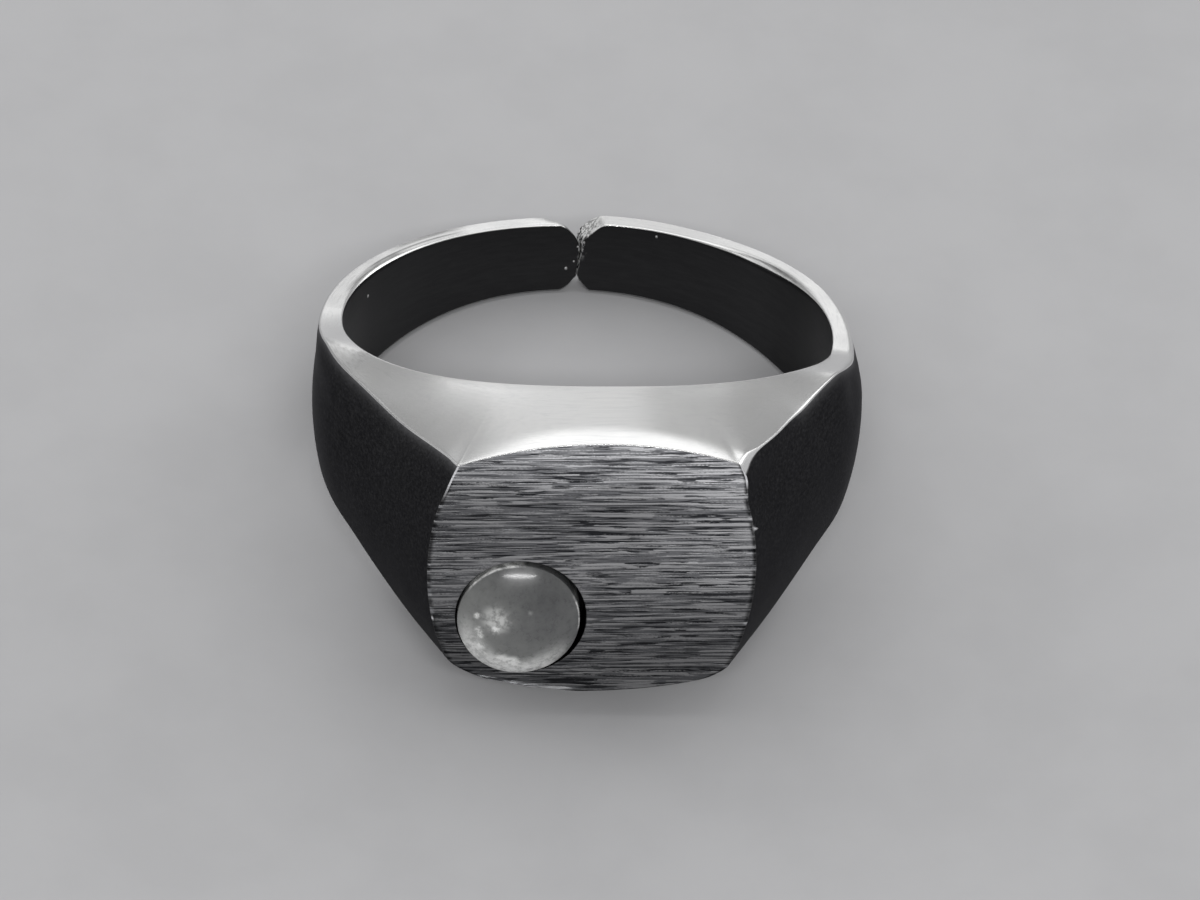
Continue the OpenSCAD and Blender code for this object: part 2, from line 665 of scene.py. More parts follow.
@dataclass(frozen=True)
class BrushedSilver:
    """The face: brush marks, with painted shade where they cut in and painted highlights on their crests.

    Attributes:
        crest_highlight: Painted highlight colour of the crests and of burnished edges.
        middle: Colour between them.
        cut: Painted shade colour of the cuts.
        shade: Colour of the painted shade where the mesh asks for no brightness.
        through: Size of the pattern through the metal, in mm.
    """

    crest_highlight: Colour = (0.98, 0.98, 1.0)
    middle: Colour = (0.42, 0.425, 0.445)
    cut: Colour = (0.07, 0.072, 0.08)
    shade: Colour = (0.0, 0.0, 0.0)
    through: float = 4.0

    def make(self, place: RingPlace, turn: float) -> bpy.types.Material:
        """Makes the material.

        Args:
            place: How the ring lies.
            turn: Slope of the brush marks on the face, in radians.

        Returns:
            The material.
        """
        board = NodeBoard("brushed_silver")

        def streaks(along: float, across: float, detail: int = 1, lean: float = 1.0) -> Term:
            """Noise drawn out along the brush marks.

            Args:
                along: Length of the streaks, in mm.
                across: Their width, in mm.
                detail: Number of finer layers.
                lean: Share of the brush marks' slope.

            Returns:
                The noise.
            """
            stretch = (along, self.through, across)
            return board.noise(board.ring_point(place, stretch, turn * lean), 1.0, detail=detail)

        fine, patches = streaks(1.6, 0.06), streaks(1.1, 0.2)
        broad, grit = streaks(3.0, 0.6), streaks(0.09, 0.05)
        long, deep = streaks(4.5, 0.08, 2, 1.2), streaks(3.0, 0.088, 2, 0.7)
        marks, burnished = board.attribute("marks"), board.attribute("crumbs")
        # Painted shade in the cuts and painted highlights on the crests.
        cut_in = deep.step(0.535, 0.585) * patches.step(0.60, 0.44) + fine.step(0.47, 0.39) * 0.55
        crest_highlight = long.step(0.53, 0.57) * patches.step(0.38, 0.52) + fine.step(0.54, 0.62) * 0.45
        darker = cut_in + marks * 0.2 - broad.step(0.35, 0.65) * 0.1 - grit * 0.2
        dark = darker.step(-0.1, 0.6)
        light = (crest_highlight - marks * 0.15 + (grit - 0.5) * 0.9).step(0.1, 0.7)
        marked = board.mix(light, board.mix(dark, self.middle, self.cut), self.crest_highlight)
        # The mesh's tone paints light and shade over the face.
        toned = board.mix(board.attribute("tone"), self.shade, marked)
        height = fine * 0.5 + crest_highlight * 0.4 - cut_in * 0.5 + board.attribute("lip") * 7.5
        # Burnished edges and burrs are painted with glints in the crests' highlight colour.
        return board.finish(
            Base_Color=board.mix(burnished, toned, self.crest_highlight),
            Metallic=1.0,
            Roughness=0.28 + dark * 0.12 + light * 0.3 + burnished * 0.3,
            Normal=board.bump(height, 0.7, 16e-6),
        )


@dataclass(frozen=True)
class SatinSilver:
    """Shoulders and outside of the band: a satin grain that runs round the ring, painted dark as shade and
    dark reflections, and brighter just below the ridge.
    """

    # Colour of the metal just below the ridge, where it is brighter.
    worn: Colour = (0.20, 0.20, 0.205)
    # Painted shade: the satin's own colours are painted dark.
    light: Colour = (0.052, 0.052, 0.054)
    dark: Colour = (0.014, 0.014, 0.015)

    def make(self, place: RingPlace) -> bpy.types.Material:
        """Makes the material.

        Args:
            place: How the ring lies.

        Returns:
            The material.
        """
        board = NodeBoard("satin_silver")
        grain = board.noise(board.round_point(place, 0.5, 0.1), 1.0, detail=4, rough=0.7)
        clouds = board.noise(board.ring_point(place), 0.5, detail=3)
        specks = board.noise(board.ring_point(place, (0.13, 0.13, 0.13)), 1.0, detail=2, rough=0.7)
        lighter = grain.step(0.3, 0.72) * 0.5 + clouds * 0.3 + specks.step(0.45, 0.7) * 0.5
        satin = board.mix(lighter, self.dark, self.light)
        # Brighter just below the ridge, where the mesh's tone asks for it.
        rubbed = board.attribute("tone") * grain.step(0.2, 0.6, 0.5, 1.0)
        return board.finish(
            Base_Color=board.mix(rubbed, satin, self.worn),
            Metallic=1.0,
            Specular_Tint=(0.5, 0.5, 0.51, 1.0),
            Roughness=0.38 + grain * 0.16,
            Normal=board.bump(grain + specks, 0.5, 8e-6),
        )


@dataclass(frozen=True)
class DarkInside:
    """Wall of the finger hole and of the seat: painted shade, as dark metal, with a few pale spots of metal
    and painted glints along the split.
    """

    # Painted shade: the wall's colours are painted dark.
    light: Colour = (0.060, 0.060, 0.062)
    dark: Colour = (0.010, 0.010, 0.011)
    bare_and_glint: Colour = (0.85, 0.85, 0.85)

    def make(self, place: RingPlace) -> bpy.types.Material:
        """Makes the material.

        Args:
            place: How the ring lies.

        Returns:
            The material.
        """
        board = NodeBoard("dark_inside")
        grain = board.noise(board.round_point(place, 0.9, 0.12), 1.0, detail=4, rough=0.65)
        lighter = grain.step(0.3, 0.75) * 0.2 + board.attribute("tone") * 0.75
        wall = board.mix(lighter, self.dark, self.light)
        # Pale spots of metal, and painted glints on the torn metal and on the last four spots along the
        # split.
        nicks_and_glints = board.crumbs(place)
        for centre, size in NICKS_AND_GLINTS:
            nicks_and_glints = nicks_and_glints + board.spot(place, centre, size)
        return board.finish(
            Base_Color=board.mix(nicks_and_glints, wall, self.bare_and_glint),
            Metallic=1.0,
            Roughness=0.34 + grain * 0.14 + nicks_and_glints * 0.1,
            Normal=board.bump(grain * 0.15 + nicks_and_glints * 3.0, 1.0, 12e-6),
        )


@dataclass(frozen=True)
class MilkyOpal:
    """The stone: milky grey with clouds, and painted light: a glow low on its left and along its lower left
    edge, and painted highlights at its edge.
    """

    deep: Colour = (0.088, 0.090, 0.093)
    milk: Colour = (0.22, 0.225, 0.22)
    glow: Colour = (0.95, 0.955, 0.94)

    def make(self, place: RingPlace) -> bpy.types.Material:
        """Makes the material.

        Args:
            place: How the ring lies.

        Returns:
            The material.
        """
        board = NodeBoard("milky_opal")
        veil = board.noise(board.ring_point(place), 0.55, detail=5, rough=0.6)
        flecks = board.noise(board.ring_point(place), 3.2, detail=5, rough=0.7)
        # Painted light: the rim glow and the clouds' glow in the glow colour, over a painted gradient from
        # deep to milky grey.
        fringe = board.attribute("rim_glow") * flecks.step(0.36, 0.62, 0.50, 1.0)
        clouds = board.attribute("cloud") * flecks.step(0.36, 0.6, 0.25, 1.1)
        milky = board.attribute("milk") * 0.8 + veil.step(0.3, 0.7) * 0.3 + flecks.step(0.44, 0.64) * 0.16
        return board.finish(
            Base_Color=board.mix(fringe + clouds, board.mix(milky, self.deep, self.milk), self.glow),
            Roughness=0.24 + flecks * 0.08,
            Subsurface_Weight=0.3,
            Subsurface_Radius=(1.0, 1.0, 1.0),
            Subsurface_Scale=0.0005,
            IOR=1.45,
            Coat_Weight=0.5,
            Coat_Roughness=0.11,
            Normal=board.bump(flecks, 0.1, 6e-6),
        )


@dataclass(frozen=True)
class PaleFloor:
    """The table: plain, pale and nearly matt."""

    colour: Colour = (0.50, 0.50, 0.51)
    speck: Colour = (0.475, 0.475, 0.485)

    def make(self) -> bpy.types.Material:
        """Makes the material.

        Returns:
            The material.
        """
        board = NodeBoard("pale_floor")
        objects = board.add("ShaderNodeTexCoord").outputs["Object"]
        mottle = board.noise(objects, 160.0, detail=5, rough=0.6)
        return board.finish(
            Base_Color=board.mix(mottle.step(0.35, 0.7), self.colour, self.speck),
            Roughness=0.7,
            Normal=board.bump(mottle, 0.1, 1e-4),
        )


class Slot(IntEnum):
    """Material slots of the silver band."""

    POLISHED = 0
    BRUSHED = 1
    SATIN = 2
    INSIDE = 3


class Level(Enum):
    """The two ends of the upright ring: how its heights count there."""

    TOP = 1
    BOTTOM = -1


@dataclass
class StoneSeat:
    """The blind round hole that holds the stone, in the lower left of the face.

    Attributes:
        x: Its middle along x, in mm.
        z: Its middle along z, in mm.
        radius: Radius, in mm.
        depth: Depth under the face, in mm.
        lip: Rounding of its edge, in mm.
    """

    x: float = -2.58
    z: float = -2.2
    radius: float = 2.43
    depth: float = 1.4
    lip: float = 0.05


@dataclass
class BrushMarks:
    """Cut lines of a coarse brush across the face, sunk into it.

    Attributes:
        depth: Depth of the main lines, in mm.
        slope: How far a line falls for each mm to the right.
        seat: The stone's seat, beside which they are rubbed.
    """

    depth: float = 0.011
    slope: float = 0.03
    seat: StoneSeat = field(default_factory=StoneSeat)

    def height(self, x: np.ndarray, z: np.ndarray) -> np.ndarray:
        """Rise and fall of the marks, from about -1 to 1.

        Three sets of random streaks, each far longer along the mark than
        across it, on lines that waver a little. They are rubbed nearly flat
        along the upper left of the seat.

        Args:
            x: Places along the face, in mm.
            z: Places up the face, in mm.

        Returns:
            The heights: positive is cut into the metal.
        """
        waver = 0.05 * lattice_noise(x / 1.6 + 40, z / 1.1 + 60, seed=10)
        across = z + self.slope * x + waver
        main = lattice_noise(x / 2.0 + 40, across / 0.125 + 60, seed=11)
        fine = lattice_noise(x / 1.0 + 40, across / 0.075 + 60, seed=12)
        broad = lattice_noise(x / 4.0 + 40, across / 0.45 + 60, seed=13)
        right, up = x - self.seat.x, z - self.seat.z
        away = np.hypot(right, up)
        upper_left = smooth_step(-0.2, 0.8, (up - right) / away)
        rubbed = 1 - 0.75 * bell(away, self.seat.radius, 0.45) * upper_left
        return (0.7 * main + 0.4 * fine + 0.25 * broad) * rubbed


@dataclass
class RimRows:
    """Rows of points over one rim, from the finger hole to the outside wall, by station and row.

    Attributes:
        inside: End of the finger hole's wall, one point for each station.
        bore_edge: The hole's edge.
        flat: The rim itself, or the top of the head.
        ridge: The edge between the rim and the outside wall.
        wall: End of the outside wall, one point for each station.
        bore_tone: Painted light and shade on the hole's edge.
        flat_tone: The same on the rim.
        ridge_tone: The same on the ridge.
    """

    inside: np.ndarray
    bore_edge: np.ndarray
    flat: np.ndarray
    ridge: np.ndarray
    wall: np.ndarray
    bore_tone: np.ndarray
    flat_tone: np.ndarray
    ridge_tone: np.ndarray


@dataclass
class SignetBand:
    """Band, shoulders and head of the ring: one closed silver form, split at the back.

    Attributes:
        place: How the ring lies.
        seat: The stone's seat.
        marks: The brush marks on the face.
        wall: Thickness of the band half way up, behind.
        side_half: Half the band's height beside the finger.
        rim_slope: Slope of the rims towards the back, in radians.
        shoulder_radius: Radius of the swelling of the sides and of the shoulders' curve.
        shoulder_shift: How far ahead of the hole's middle they swell from.
        shoulder_turn: Turn of the shoulders from straight ahead, in radians.
        shoulder_crown: How fast the shoulders curve in towards the rims, in mm for each mm².
        worn_right: How far the upper outer edge is worn in beside the finger, on the right.
        full_left: How much fuller it is behind the left side.
        flat_left: How much flatter the left side is below that edge.
        face_ahead: Distance of the face from the hole's middle.
        face_half: Half the height of the face at its middle.
        crown_radius: Radius of the crowned top and bottom of the head.
        crown_taper: How fast they close in towards the face, in radians.
        rise_start: Where the lower rim starts to rise to the head, ahead of the hole's middle.
        rise_slope: Slope of that rise, in radians.
        roll_drop: How much the worn-over edge above the face falls.
        roll_reach: How far back it starts.
        soft_turn: Over how many degrees to each side the head's top is evened out.
        corner_melt: How much the two lower corners of the face are rounded away.
        split_gap: Width of the split.
        split_slant: How far the split leans to the right on its way through the band.
        left_burr: Height of the small burr on the left edge of the face.
        right_burr: The same on the right edge.
        burr_reach: How far the right one stands out.
        top_worn: How much lower the upper edge of the face is worn.
        hole_top: Height of the hole's upper edge under the top of the head's crown.
        hole_top_x: Where that top is across.
    """

    place: RingPlace
    seat: StoneSeat = field(default_factory=StoneSeat)
    marks: BrushMarks = field(default_factory=BrushMarks)
    wall: float = 0.9
    side_half: float = 2.48
    rim_slope: float = math.radians(6.1)
    shoulder_radius: float = 10.487
    shoulder_shift: float = 1.0
    shoulder_turn: float = math.radians(24.19)
    shoulder_crown: float = 0.0434
    worn_right: float = 0.18
    full_left: float = 0.19
    flat_left: float = 0.12
    face_ahead: float = 13.1
    face_half: float = 5.5
    crown_radius: float = 15.0
    crown_taper: float = math.radians(3.4)
    rise_start: float = 1.6
    rise_slope: float = math.radians(24)
    roll_drop: float = 0.15
    roll_reach: float = 1.2
    soft_turn: float = 7.0
    corner_melt: float = 0.07
    split_gap: float = 0.06
    split_slant: float = 0.2
    left_burr: float = -2.33
    right_burr: float = 1.94
    burr_reach: float = 0.20
    top_worn: float = 0.05
    hole_top: float = 5.68
    hole_top_x: float = 0.9

    # Numbers of points. Their product is the mesh's fineness.
    face_columns: int = 109
    wall_rows: int = 196
    panel_rows: int = 22
    inside_rows: int = 24
    edge_rows: int = 5
    bore_edge_rows: int = 4

    # Half of the way round is four runs: face, its side edge, shoulder and band.
    FACE_END = 1.0
    EDGE_END = 2.0
    SHOULDER_END = 3.0
    BAND_END = 4.0
    BAND_START_ANGLE = math.radians(80)

    # Share of the band's run with denser stations beside the split, steps that
    # find the ridge, and the painted light on the ends at the split.
    TAB_SHARE = 0.08
    RIDGE_STEPS = 40
    END_TONE = 0.6

    def stations(self) -> np.ndarray:
        """Places round the ring, from -4 at the split's left over 0 at the face to 4 at its right.

        Returns:
            The places, closest together on the face, at its edges and at the split.
        """
        face = np.linspace(0, self.FACE_END, self.face_columns // 2 + 1)
        edge = np.linspace(self.FACE_END, self.EDGE_END, 6)[1:]
        shoulder = self.EDGE_END + np.linspace(0, 1, 31)[1:] ** 1.25
        band = self.SHOULDER_END + np.linspace(0, 1 - self.TAB_SHARE, 32)[1:]
        tab = self.BAND_END - self.TAB_SHARE * (1 - np.sin(np.linspace(0, math.pi / 2, 17)[1:]))
        half = np.concatenate([face, edge, shoulder, band, tab])
        return np.concatenate([-half[:0:-1], half])

    def _side_reach(self, z: np.ndarray) -> np.ndarray:
        """Reach of the sides and shoulders at a height: their radius less the crown's share of z²."""
        return self.shoulder_radius - self.shoulder_crown * z * z

    def face_side(self, z: np.ndarray, side: np.ndarray) -> np.ndarray:
        """Half the width of the face at a height.

        Where the shoulder's line meets the plane of the face. The upper half
        is a little narrower, the lower corners are melted, and the upper
        right corner and the left side stand out.

        Args:
            z: Heights.
            side: -1 on the left and 1 on the right.

        Returns:
            Half widths.
        """
        cos, sin = math.cos(self.shoulder_turn), math.sin(self.shoulder_turn)
        ahead = self.face_ahead - self.shoulder_shift
        narrowed = 0.03 * smooth_step(-3.5, 0.5, z) - 0.28 * smooth_step(2.9, 4.3, z) * (side > 0)
        narrowed = narrowed - 0.07 * plateau(z, -4.0, -2.8, 2.2, 3.4) * (side < 0)
        return (self._side_reach(z) - ahead * sin) / cos - narrowed - self._melt(z)

    def _melt(self, z: np.ndarray) -> np.ndarray:
        """How far the face's lower corners are rounded in: squares from 3.6 and 4.07 mm down."""
        return self.corner_melt * np.clip(-z - 3.6, 0, 1.3) ** 2 + 1.2 * np.clip(-z - 4.07, 0, 0.9) ** 2

    def outside_radius(self, angle: np.ndarray, z: np.ndarray, side: np.ndarray) -> np.ndarray:
        """Distance from the hole's axis to the outside, behind the face.

        The larger of the band's ball and of the swelling, whose circle goes
        over into the shoulder's straight line where the two touch. The upper
        edge is worn in on the right and a little fuller on the left.

        Args:
            angle: Angle from straight ahead, from 0 to half a turn.
            z: Height.
            side: -1 on the left and 1 on the right.

        Returns:
            The distance.
        """
        reach = self._side_reach(z)
        shift, turn = self.shoulder_shift, self.shoulder_turn
        line = (reach + shift * math.sin(turn)) / np.sin(np.maximum(angle + turn, 0.3))
        ahead = shift * np.cos(angle)
        circle = ahead + np.sqrt(reach**2 - shift**2 + ahead**2)
        # The circle touches the line where it lies a quarter turn from the shoulder's run.
        round_angle = np.arctan2(circle * np.sin(angle), circle * np.cos(angle) - shift)
        swelling = np.where(round_angle < math.pi / 2 - turn, line, circle)
        band = np.sqrt((self.place.bore_radius + self.wall) ** 2 - np.minimum(z * z, 16))
        degrees = np.degrees(angle)
        right = self.worn_right * plateau(degrees, 62, 74, 82, 118)
        left = -self.full_left * bell(degrees, 111, 13)
        flat_left = self.flat_left * plateau(degrees, 45, 75, 100, 130)
        left = left * smooth_step(0.6, 2.4, z) + flat_left * smooth_step(2.6, 1.2, z)
        worn = np.where(side > 0, right * smooth_step(0.6, 2.4, z), left)
        melt = self._melt(z) * smooth_step(math.radians(45), math.radians(24), angle)
        return smooth_max(swelling, band, 0.12) - worn - melt

    def edge_width(self, z: np.ndarray) -> np.ndarray:
        """Width of the rounded edge beside the face at a height: wider at the lower corners."""
        return 0.06 + 0.05 * smooth_step(-3.4, -4.6, z)

    def burr(self, z: np.ndarray, side: np.ndarray) -> np.ndarray:
        """How far a small burr stands out of the right edge of the face: a narrow bell over z."""
        return self.burr_reach * bell(z, self.right_burr, 0.06) * (side > 0)

    def seam(self, z: np.ndarray) -> np.ndarray:
        """Where the split runs across at a height: two soft steps to the left, and two sizes of waves.

        Args:
            z: Heights.

        Returns:
            Places across, in mm.
        """
        coarse = lattice_noise(z / 0.45 + 30, z * 0 + 5.5, seed=21)
        fine = lattice_noise(z / 0.13 + 30, z * 0 + 9.5, seed=22)
        lean = -0.04 - 0.10 * smooth_step(1.2, 0.7, z) - 0.2 * smooth_step(0.8, -1.0, z)
        return lean + 0.045 * coarse + 0.035 * fine

    def outside_point(self, station: np.ndarray, z: np.ndarray) -> np.ndarray:
        """The outside wall's place in plan, by the place round the ring and the height.

        The face is straight, its edge is a bend from the face to the
        shoulder, and the rest follows outside_radius over even angles.

        Args:
            station: Places round the ring, from -4 to 4.
            z: Heights.

        Returns:
            x and y, last.
        """
        station, z = np.broadcast_arrays(station, z)
        side, run = np.where(station < 0, -1.0, 1.0), np.abs(station)
        sin, cos = math.sin(self.shoulder_turn), math.cos(self.shoulder_turn)
        corner, width = self.face_side(z, side), self.edge_width(z)
        start, end = corner - width, corner + width * sin
        face_x = run * start
        t = np.clip(run - self.FACE_END, 0, 1)
        edge_x = (1 - t) ** 2 * start + 2 * t * (1 - t) * corner + t**2 * end
        edge_x = edge_x + 4 * t * (1 - t) * self.burr(z, side)
        edge_y = t**2 * width * cos - self.face_ahead
        first = np.arctan2(end, self.face_ahead - width * cos)
        end_reach = self.place.bore_radius + self.wall
        gap = (self.split_gap / 2 + side * self.seam(z)) / end_reach
        turned = first + (self.BAND_START_ANGLE - first) * np.clip(run - self.EDGE_END, 0, 1)
        turned = turned + (math.pi - gap - self.BAND_START_ANGLE) * np.clip(run - self.SHOULDER_END, 0, 1)
        # The shoulder starts at the face's edge, also where that is melted or narrowed.
        reach = self.outside_radius(turned, z, side)
        edge_reach = np.hypot(end, self.face_ahead - width * cos)
        first_reach = self.outside_radius(first, z, side)
        reach = reach + (edge_reach - first_reach) * smooth_step(2.35, 2.0, run)
        x = np.select([run <= self.FACE_END, run <= self.EDGE_END], [face_x, edge_x], reach * np.sin(turned))
        y = np.select(
            [run <= self.FACE_END, run <= self.EDGE_END],
            [np.full_like(x, -self.face_ahead), edge_y],
            -reach * np.cos(turned),
        )
        return np.stack([side * x, y], axis=-1)

    def hole_height(self, angle: np.ndarray) -> np.ndarray:
        """Height of the hole's upper edge.

        Behind, the rims' slope. Ahead of it a rise is added, which grows by
        the square of the way on the left and straight on the right, until it
        meets the head's crown, a parabola over x.

        Args:
            angle: Angle from straight ahead, negative on the left.

        Returns:
            Heights over the middle plane.
        """
        x = self.place.bore_radius * np.sin(angle)
        ahead = self.place.bore_radius * np.cos(angle)
        rim = self.side_half + math.tan(self.rim_slope) * ahead
        left = 0.013 * np.clip(ahead + 3.58, 0, None) ** 2 - 0.096 + 0.08 * smooth_step(0, 3, ahead)
        left = left + 0.02 * np.clip(ahead - 6, 0, None) ** 2
        right = 0.278 * (ahead - 1.67) + 0.08 * smooth_step(3, 6, ahead)
        lift = left + (right - left) * smooth_step(-4, 4, x)
        crown = self.hole_top - (x - self.hole_top_x) ** 2 / (46 - 13 * smooth_step(-1.5, 2, x))
        tab = 0.08 * smooth_step(math.radians(145), math.radians(170), angle)
        return smooth_min(rim + smooth_max(lift, 0, 0.05), crown, 0.12) + tab

    def fall_outwards(self, angle: np.ndarray) -> np.ndarray:
        """How much lower the shoulders' outer edge is than the hole's edge at the same angle.

        Only the rim's own slope up to the crease beside the finger, then a
        straight growth up to a limit, and a little less again at the corners
        of the face.

        Args:
            angle: Angle from straight ahead, negative on the left.

        Returns:
            Falls, in mm.
        """
        degrees = np.degrees(angle)
        past_left, past_right = 75 + degrees, 63 - degrees
        left = smooth_min(0.0275 * past_left, 1.0, 0.12) - 0.10 * smooth_step(40, 53, past_left)
        right = smooth_min(0.042 * past_right, 0.80, 0.15) - 0.20 * smooth_step(26, 40, past_right)
        fall = np.where(degrees < 0, left, right)
        behind = np.where(degrees < 0, 0.09, 0.04) * smooth_step(90, 150, np.abs(degrees))
        return smooth_max(fall, 0, 0.03) + behind

    def face_top(self, x: np.ndarray) -> np.ndarray:
        """Height of the face's upper edge: a circle's, tilted up to the right, lower on the left."""
        arc = self.crown_radius - np.sqrt(self.crown_radius**2 - np.minimum(x * x, 60))
        return self.face_half - self.top_worn - arc + np.where(x > 0, np.minimum(0.046 * x, 0.25), 0.034 * x)

    def outer_height(self, angle: np.ndarray) -> np.ndarray:
        """Height of the upper outer edge: the face's, and past its corners the shoulders'.

        Args:
            angle: Angle from straight ahead, negative on the left.

        Returns:
            Heights over the middle plane.
        """
        shoulder = self.hole_height(angle) - self.fall_outwards(angle)
        face = self.face_top(self.face_ahead * np.tan(np.clip(angle, -0.45, 0.45)))
        on_face = smooth_step(math.radians(23.5), math.radians(20.5), np.abs(angle))
        return shoulder + (face - shoulder) * on_face

    def _rolled(self, angle: np.ndarray) -> np.ndarray:
        """How much the head's top rolls over towards the face at an angle: most of its right two thirds."""
        degrees = np.degrees(angle)
        return smooth_step(-29, -4, degrees) * smooth_step(28, 22, np.abs(degrees))

    def _top_reach(self, angle: np.ndarray) -> np.ndarray:
        """Distance from the hole's axis to the upper outer edge at an angle: the face's or the shoulders'.

        Args:
            angle: Angle from straight ahead, negative on the left.

        Returns:
            The distance.
        """
        side = np.where(angle < 0, -1.0, 1.0)
        reach = self.outside_radius(np.maximum(np.abs(angle), 0.2), self.outer_height(angle), side)
        before_face = self.face_ahead / np.maximum(np.cos(angle), 0.1)
        return np.where(np.cos(angle) > 0.1, np.minimum(reach, before_face), reach)

    def _top_slope(self, angle: np.ndarray) -> np.ndarray:
        """Slope of the rim and of the head's top outwards, from the hole's edge to the outer edge."""
        rise = self.outer_height(angle) + self.roll_drop * self._rolled(angle) - self.hole_height(angle)
        return rise / (self._top_reach(angle) - self.place.bore_radius)

    def top_height(self, x: np.ndarray, y: np.ndarray) -> np.ndarray:
        """Height of the rim and of the head's top at a place in plan.

        Straight from the hole's edge to the outer edge at each angle. On the
        head the slope is the mean over a few degrees, so that the corners of
        the face make no crease, except next to the outer edge itself. On the
        right two thirds of the head it rolls over towards the face by a
        square.

        Args:
            x: Places across.
            y: Places along.

        Returns:
            Heights over the middle plane.
        """
        angle, distance = np.arctan2(x, -y), np.hypot(x, y)
        bore = self.place.bore_radius
        share = np.clip((distance - bore) / (self._top_reach(angle) - bore), 0, 1)
        slope = self._top_slope(angle)
        turns = np.radians(np.linspace(-self.soft_turn, self.soft_turn, 9))
        soft = sum(self._top_slope(angle + turn) for turn in turns) / len(turns)
        on_head = smooth_step(math.radians(60), math.radians(45), np.abs(angle))
        slope = slope + (soft - slope) * on_head * (1 - share**4)
        roll = np.clip(1 - (y + self.face_ahead) / self.roll_reach, 0, 1) ** 2
        rolled = self.roll_drop * self._rolled(angle) * roll
        return self.hole_height(angle) + slope * (distance - bore) - rolled

    def bottom_height(self, x: np.ndarray, y: np.ndarray) -> np.ndarray:
        """Depth of the lower rim and of the head's underside below the middle plane.

        The rims' slope, or where it is deeper, the rise to the head under
        the head's crown, a cylinder along y that closes in towards the face
        and is a little flatter there, on the right most of all.
        The rim bulges a little behind the sides.

        Args:
            x: Places across.
            y: Places along.

        Returns:
            Depths, as positive numbers.
        """
        behind = y + self.face_ahead
        degrees = np.degrees(np.arctan2(np.abs(x), -y))
        bulge = np.where(x < 0, 0.27, 0.40) * bell(degrees, 122, 25)
        rim = self.side_half - math.tan(self.rim_slope) * y + bulge * smooth_step(0, 3, np.abs(x))
        start = self.side_half + math.tan(self.rim_slope) * self.rise_start
        rise = start - math.tan(self.rise_slope) * (y + self.rise_start)
        arc = self.crown_radius - np.sqrt(self.crown_radius**2 - np.minimum(x * x, 120))
        melt = self.corner_melt * np.clip(np.abs(x) - 4.0, 0, 1.3) ** 2 * smooth_step(4, 0, behind)
        flatter = (0.05 + 0.07 * smooth_step(-1.0, 1.5, x)) * smooth_step(3.5, 0, behind)
        crown = self.face_half - arc + math.tan(self.crown_taper) * behind - melt - flatter
        return smooth_max(rim, smooth_min(rise, crown, 0.2), 0.1)

    def rim_height(self, x: np.ndarray, y: np.ndarray, level: Level) -> np.ndarray:
        """Distance of the upper or lower surface from the middle plane, at a place in plan."""
        return self.top_height(x, y) if level is Level.TOP else self.bottom_height(x, y)

    def _before_split(self, station: np.ndarray) -> np.ndarray:
        """Way along the band that is left before the split, in mm."""
        reach = self.place.bore_radius + self.wall
        return (self.BAND_END - np.abs(station)) * (math.pi - self.BAND_START_ANGLE) * reach

    def tab_drop(self, station: np.ndarray, level: Level, across: float = 1.0) -> np.ndarray:
        """How much the rounded corners beside the split lower the rims.

        A power of the last stretch before the split. On top, the left one
        is longer and deeper along the outside than along the hole.

        Args:
            station: Places round the ring.
            level: Top or bottom.
            across: 0 at the hole and 1 at the outside.

        Returns:
            How much lower the rim is.
        """
        length, drop, power = 0.65, 0.65, 1.6
        if level is Level.TOP:
            left = station < 0
            length = np.where(left, 0.95 + 0.55 * across, 1.15 - 0.20 * across)
            drop = np.where(left, 0.85 + 0.60 * across, 0.75 - 0.05 * across)
            power = np.where(left, 1.6, 2.1 - 0.2 * across)
        return drop * np.clip(1 - self._before_split(station) / length, 0, 1) ** power

    def _ridge(self, station: np.ndarray, level: Level) -> tuple[np.ndarray, np.ndarray]:
        """Where the outside wall meets the rim or the top of the head.

        Found by stepping: the height at the wall's place, the wall's place
        at that height, and so on until they agree.

        Args:
            station: Places round the ring.
            level: Top or bottom.

        Returns:
            Plan places and positive heights.
        """
        height = np.full_like(station, self.side_half)
        for _ in range(self.RIDGE_STEPS):
            plan = self.outside_point(station, height * level.value)
            found = self.rim_height(plan[:, 0], plan[:, 1], level) - self.tab_drop(station, level)
            height = (height + found) / 2
        return plan, height

    @staticmethod
    def worn_lens(angle: np.ndarray, level: Level) -> np.ndarray:
        """Share of the worn facet on the hole's upper edge: a bell behind each side.

        Args:
            angle: Angle from straight ahead, negative on the left.
            level: Top or bottom.

        Returns:
            The share, from 0 to 1.
        """
        if level is Level.BOTTOM:
            return np.zeros_like(angle)
        degrees = np.degrees(angle)
        return bell(degrees, -118, 19) + bell(degrees, 130, 17)

    def _ridge_widths(self, station: np.ndarray, level: Level) -> tuple[np.ndarray, np.ndarray]:
        """How far the ridge's rounding reaches over the rim and down the wall.

        A small facet widens the ridge of the right shoulder towards the
        corner of the face, by a soft step, and the ridge is more worn behind
        both sides.

        Args:
            station: Places round the ring.
            level: Top or bottom.

        Returns:
            Both widths, in mm.
        """
        on_face = smooth_step(1.9, 1.0, np.abs(station))
        if level is Level.BOTTOM:
            return 0.09 + 0.02 * on_face, 0.09 - 0.01 * on_face
        facet = 0.46 * plateau(station, 1.2, 1.9, 1.99, 2.10)
        plan = self.outside_point(station, np.full_like(station, self.side_half))
        degrees = np.degrees(np.arctan2(plan[:, 0], -plan[:, 1]))
        worn = 0.12 * plateau(degrees, 64, 76, 90, 120) + 0.15 * bell(degrees, -111, 13)
        return 0.07 + 0.02 * on_face + facet * 0.1 + worn, 0.07 - 0.02 * on_face + facet + 1.3 * worn

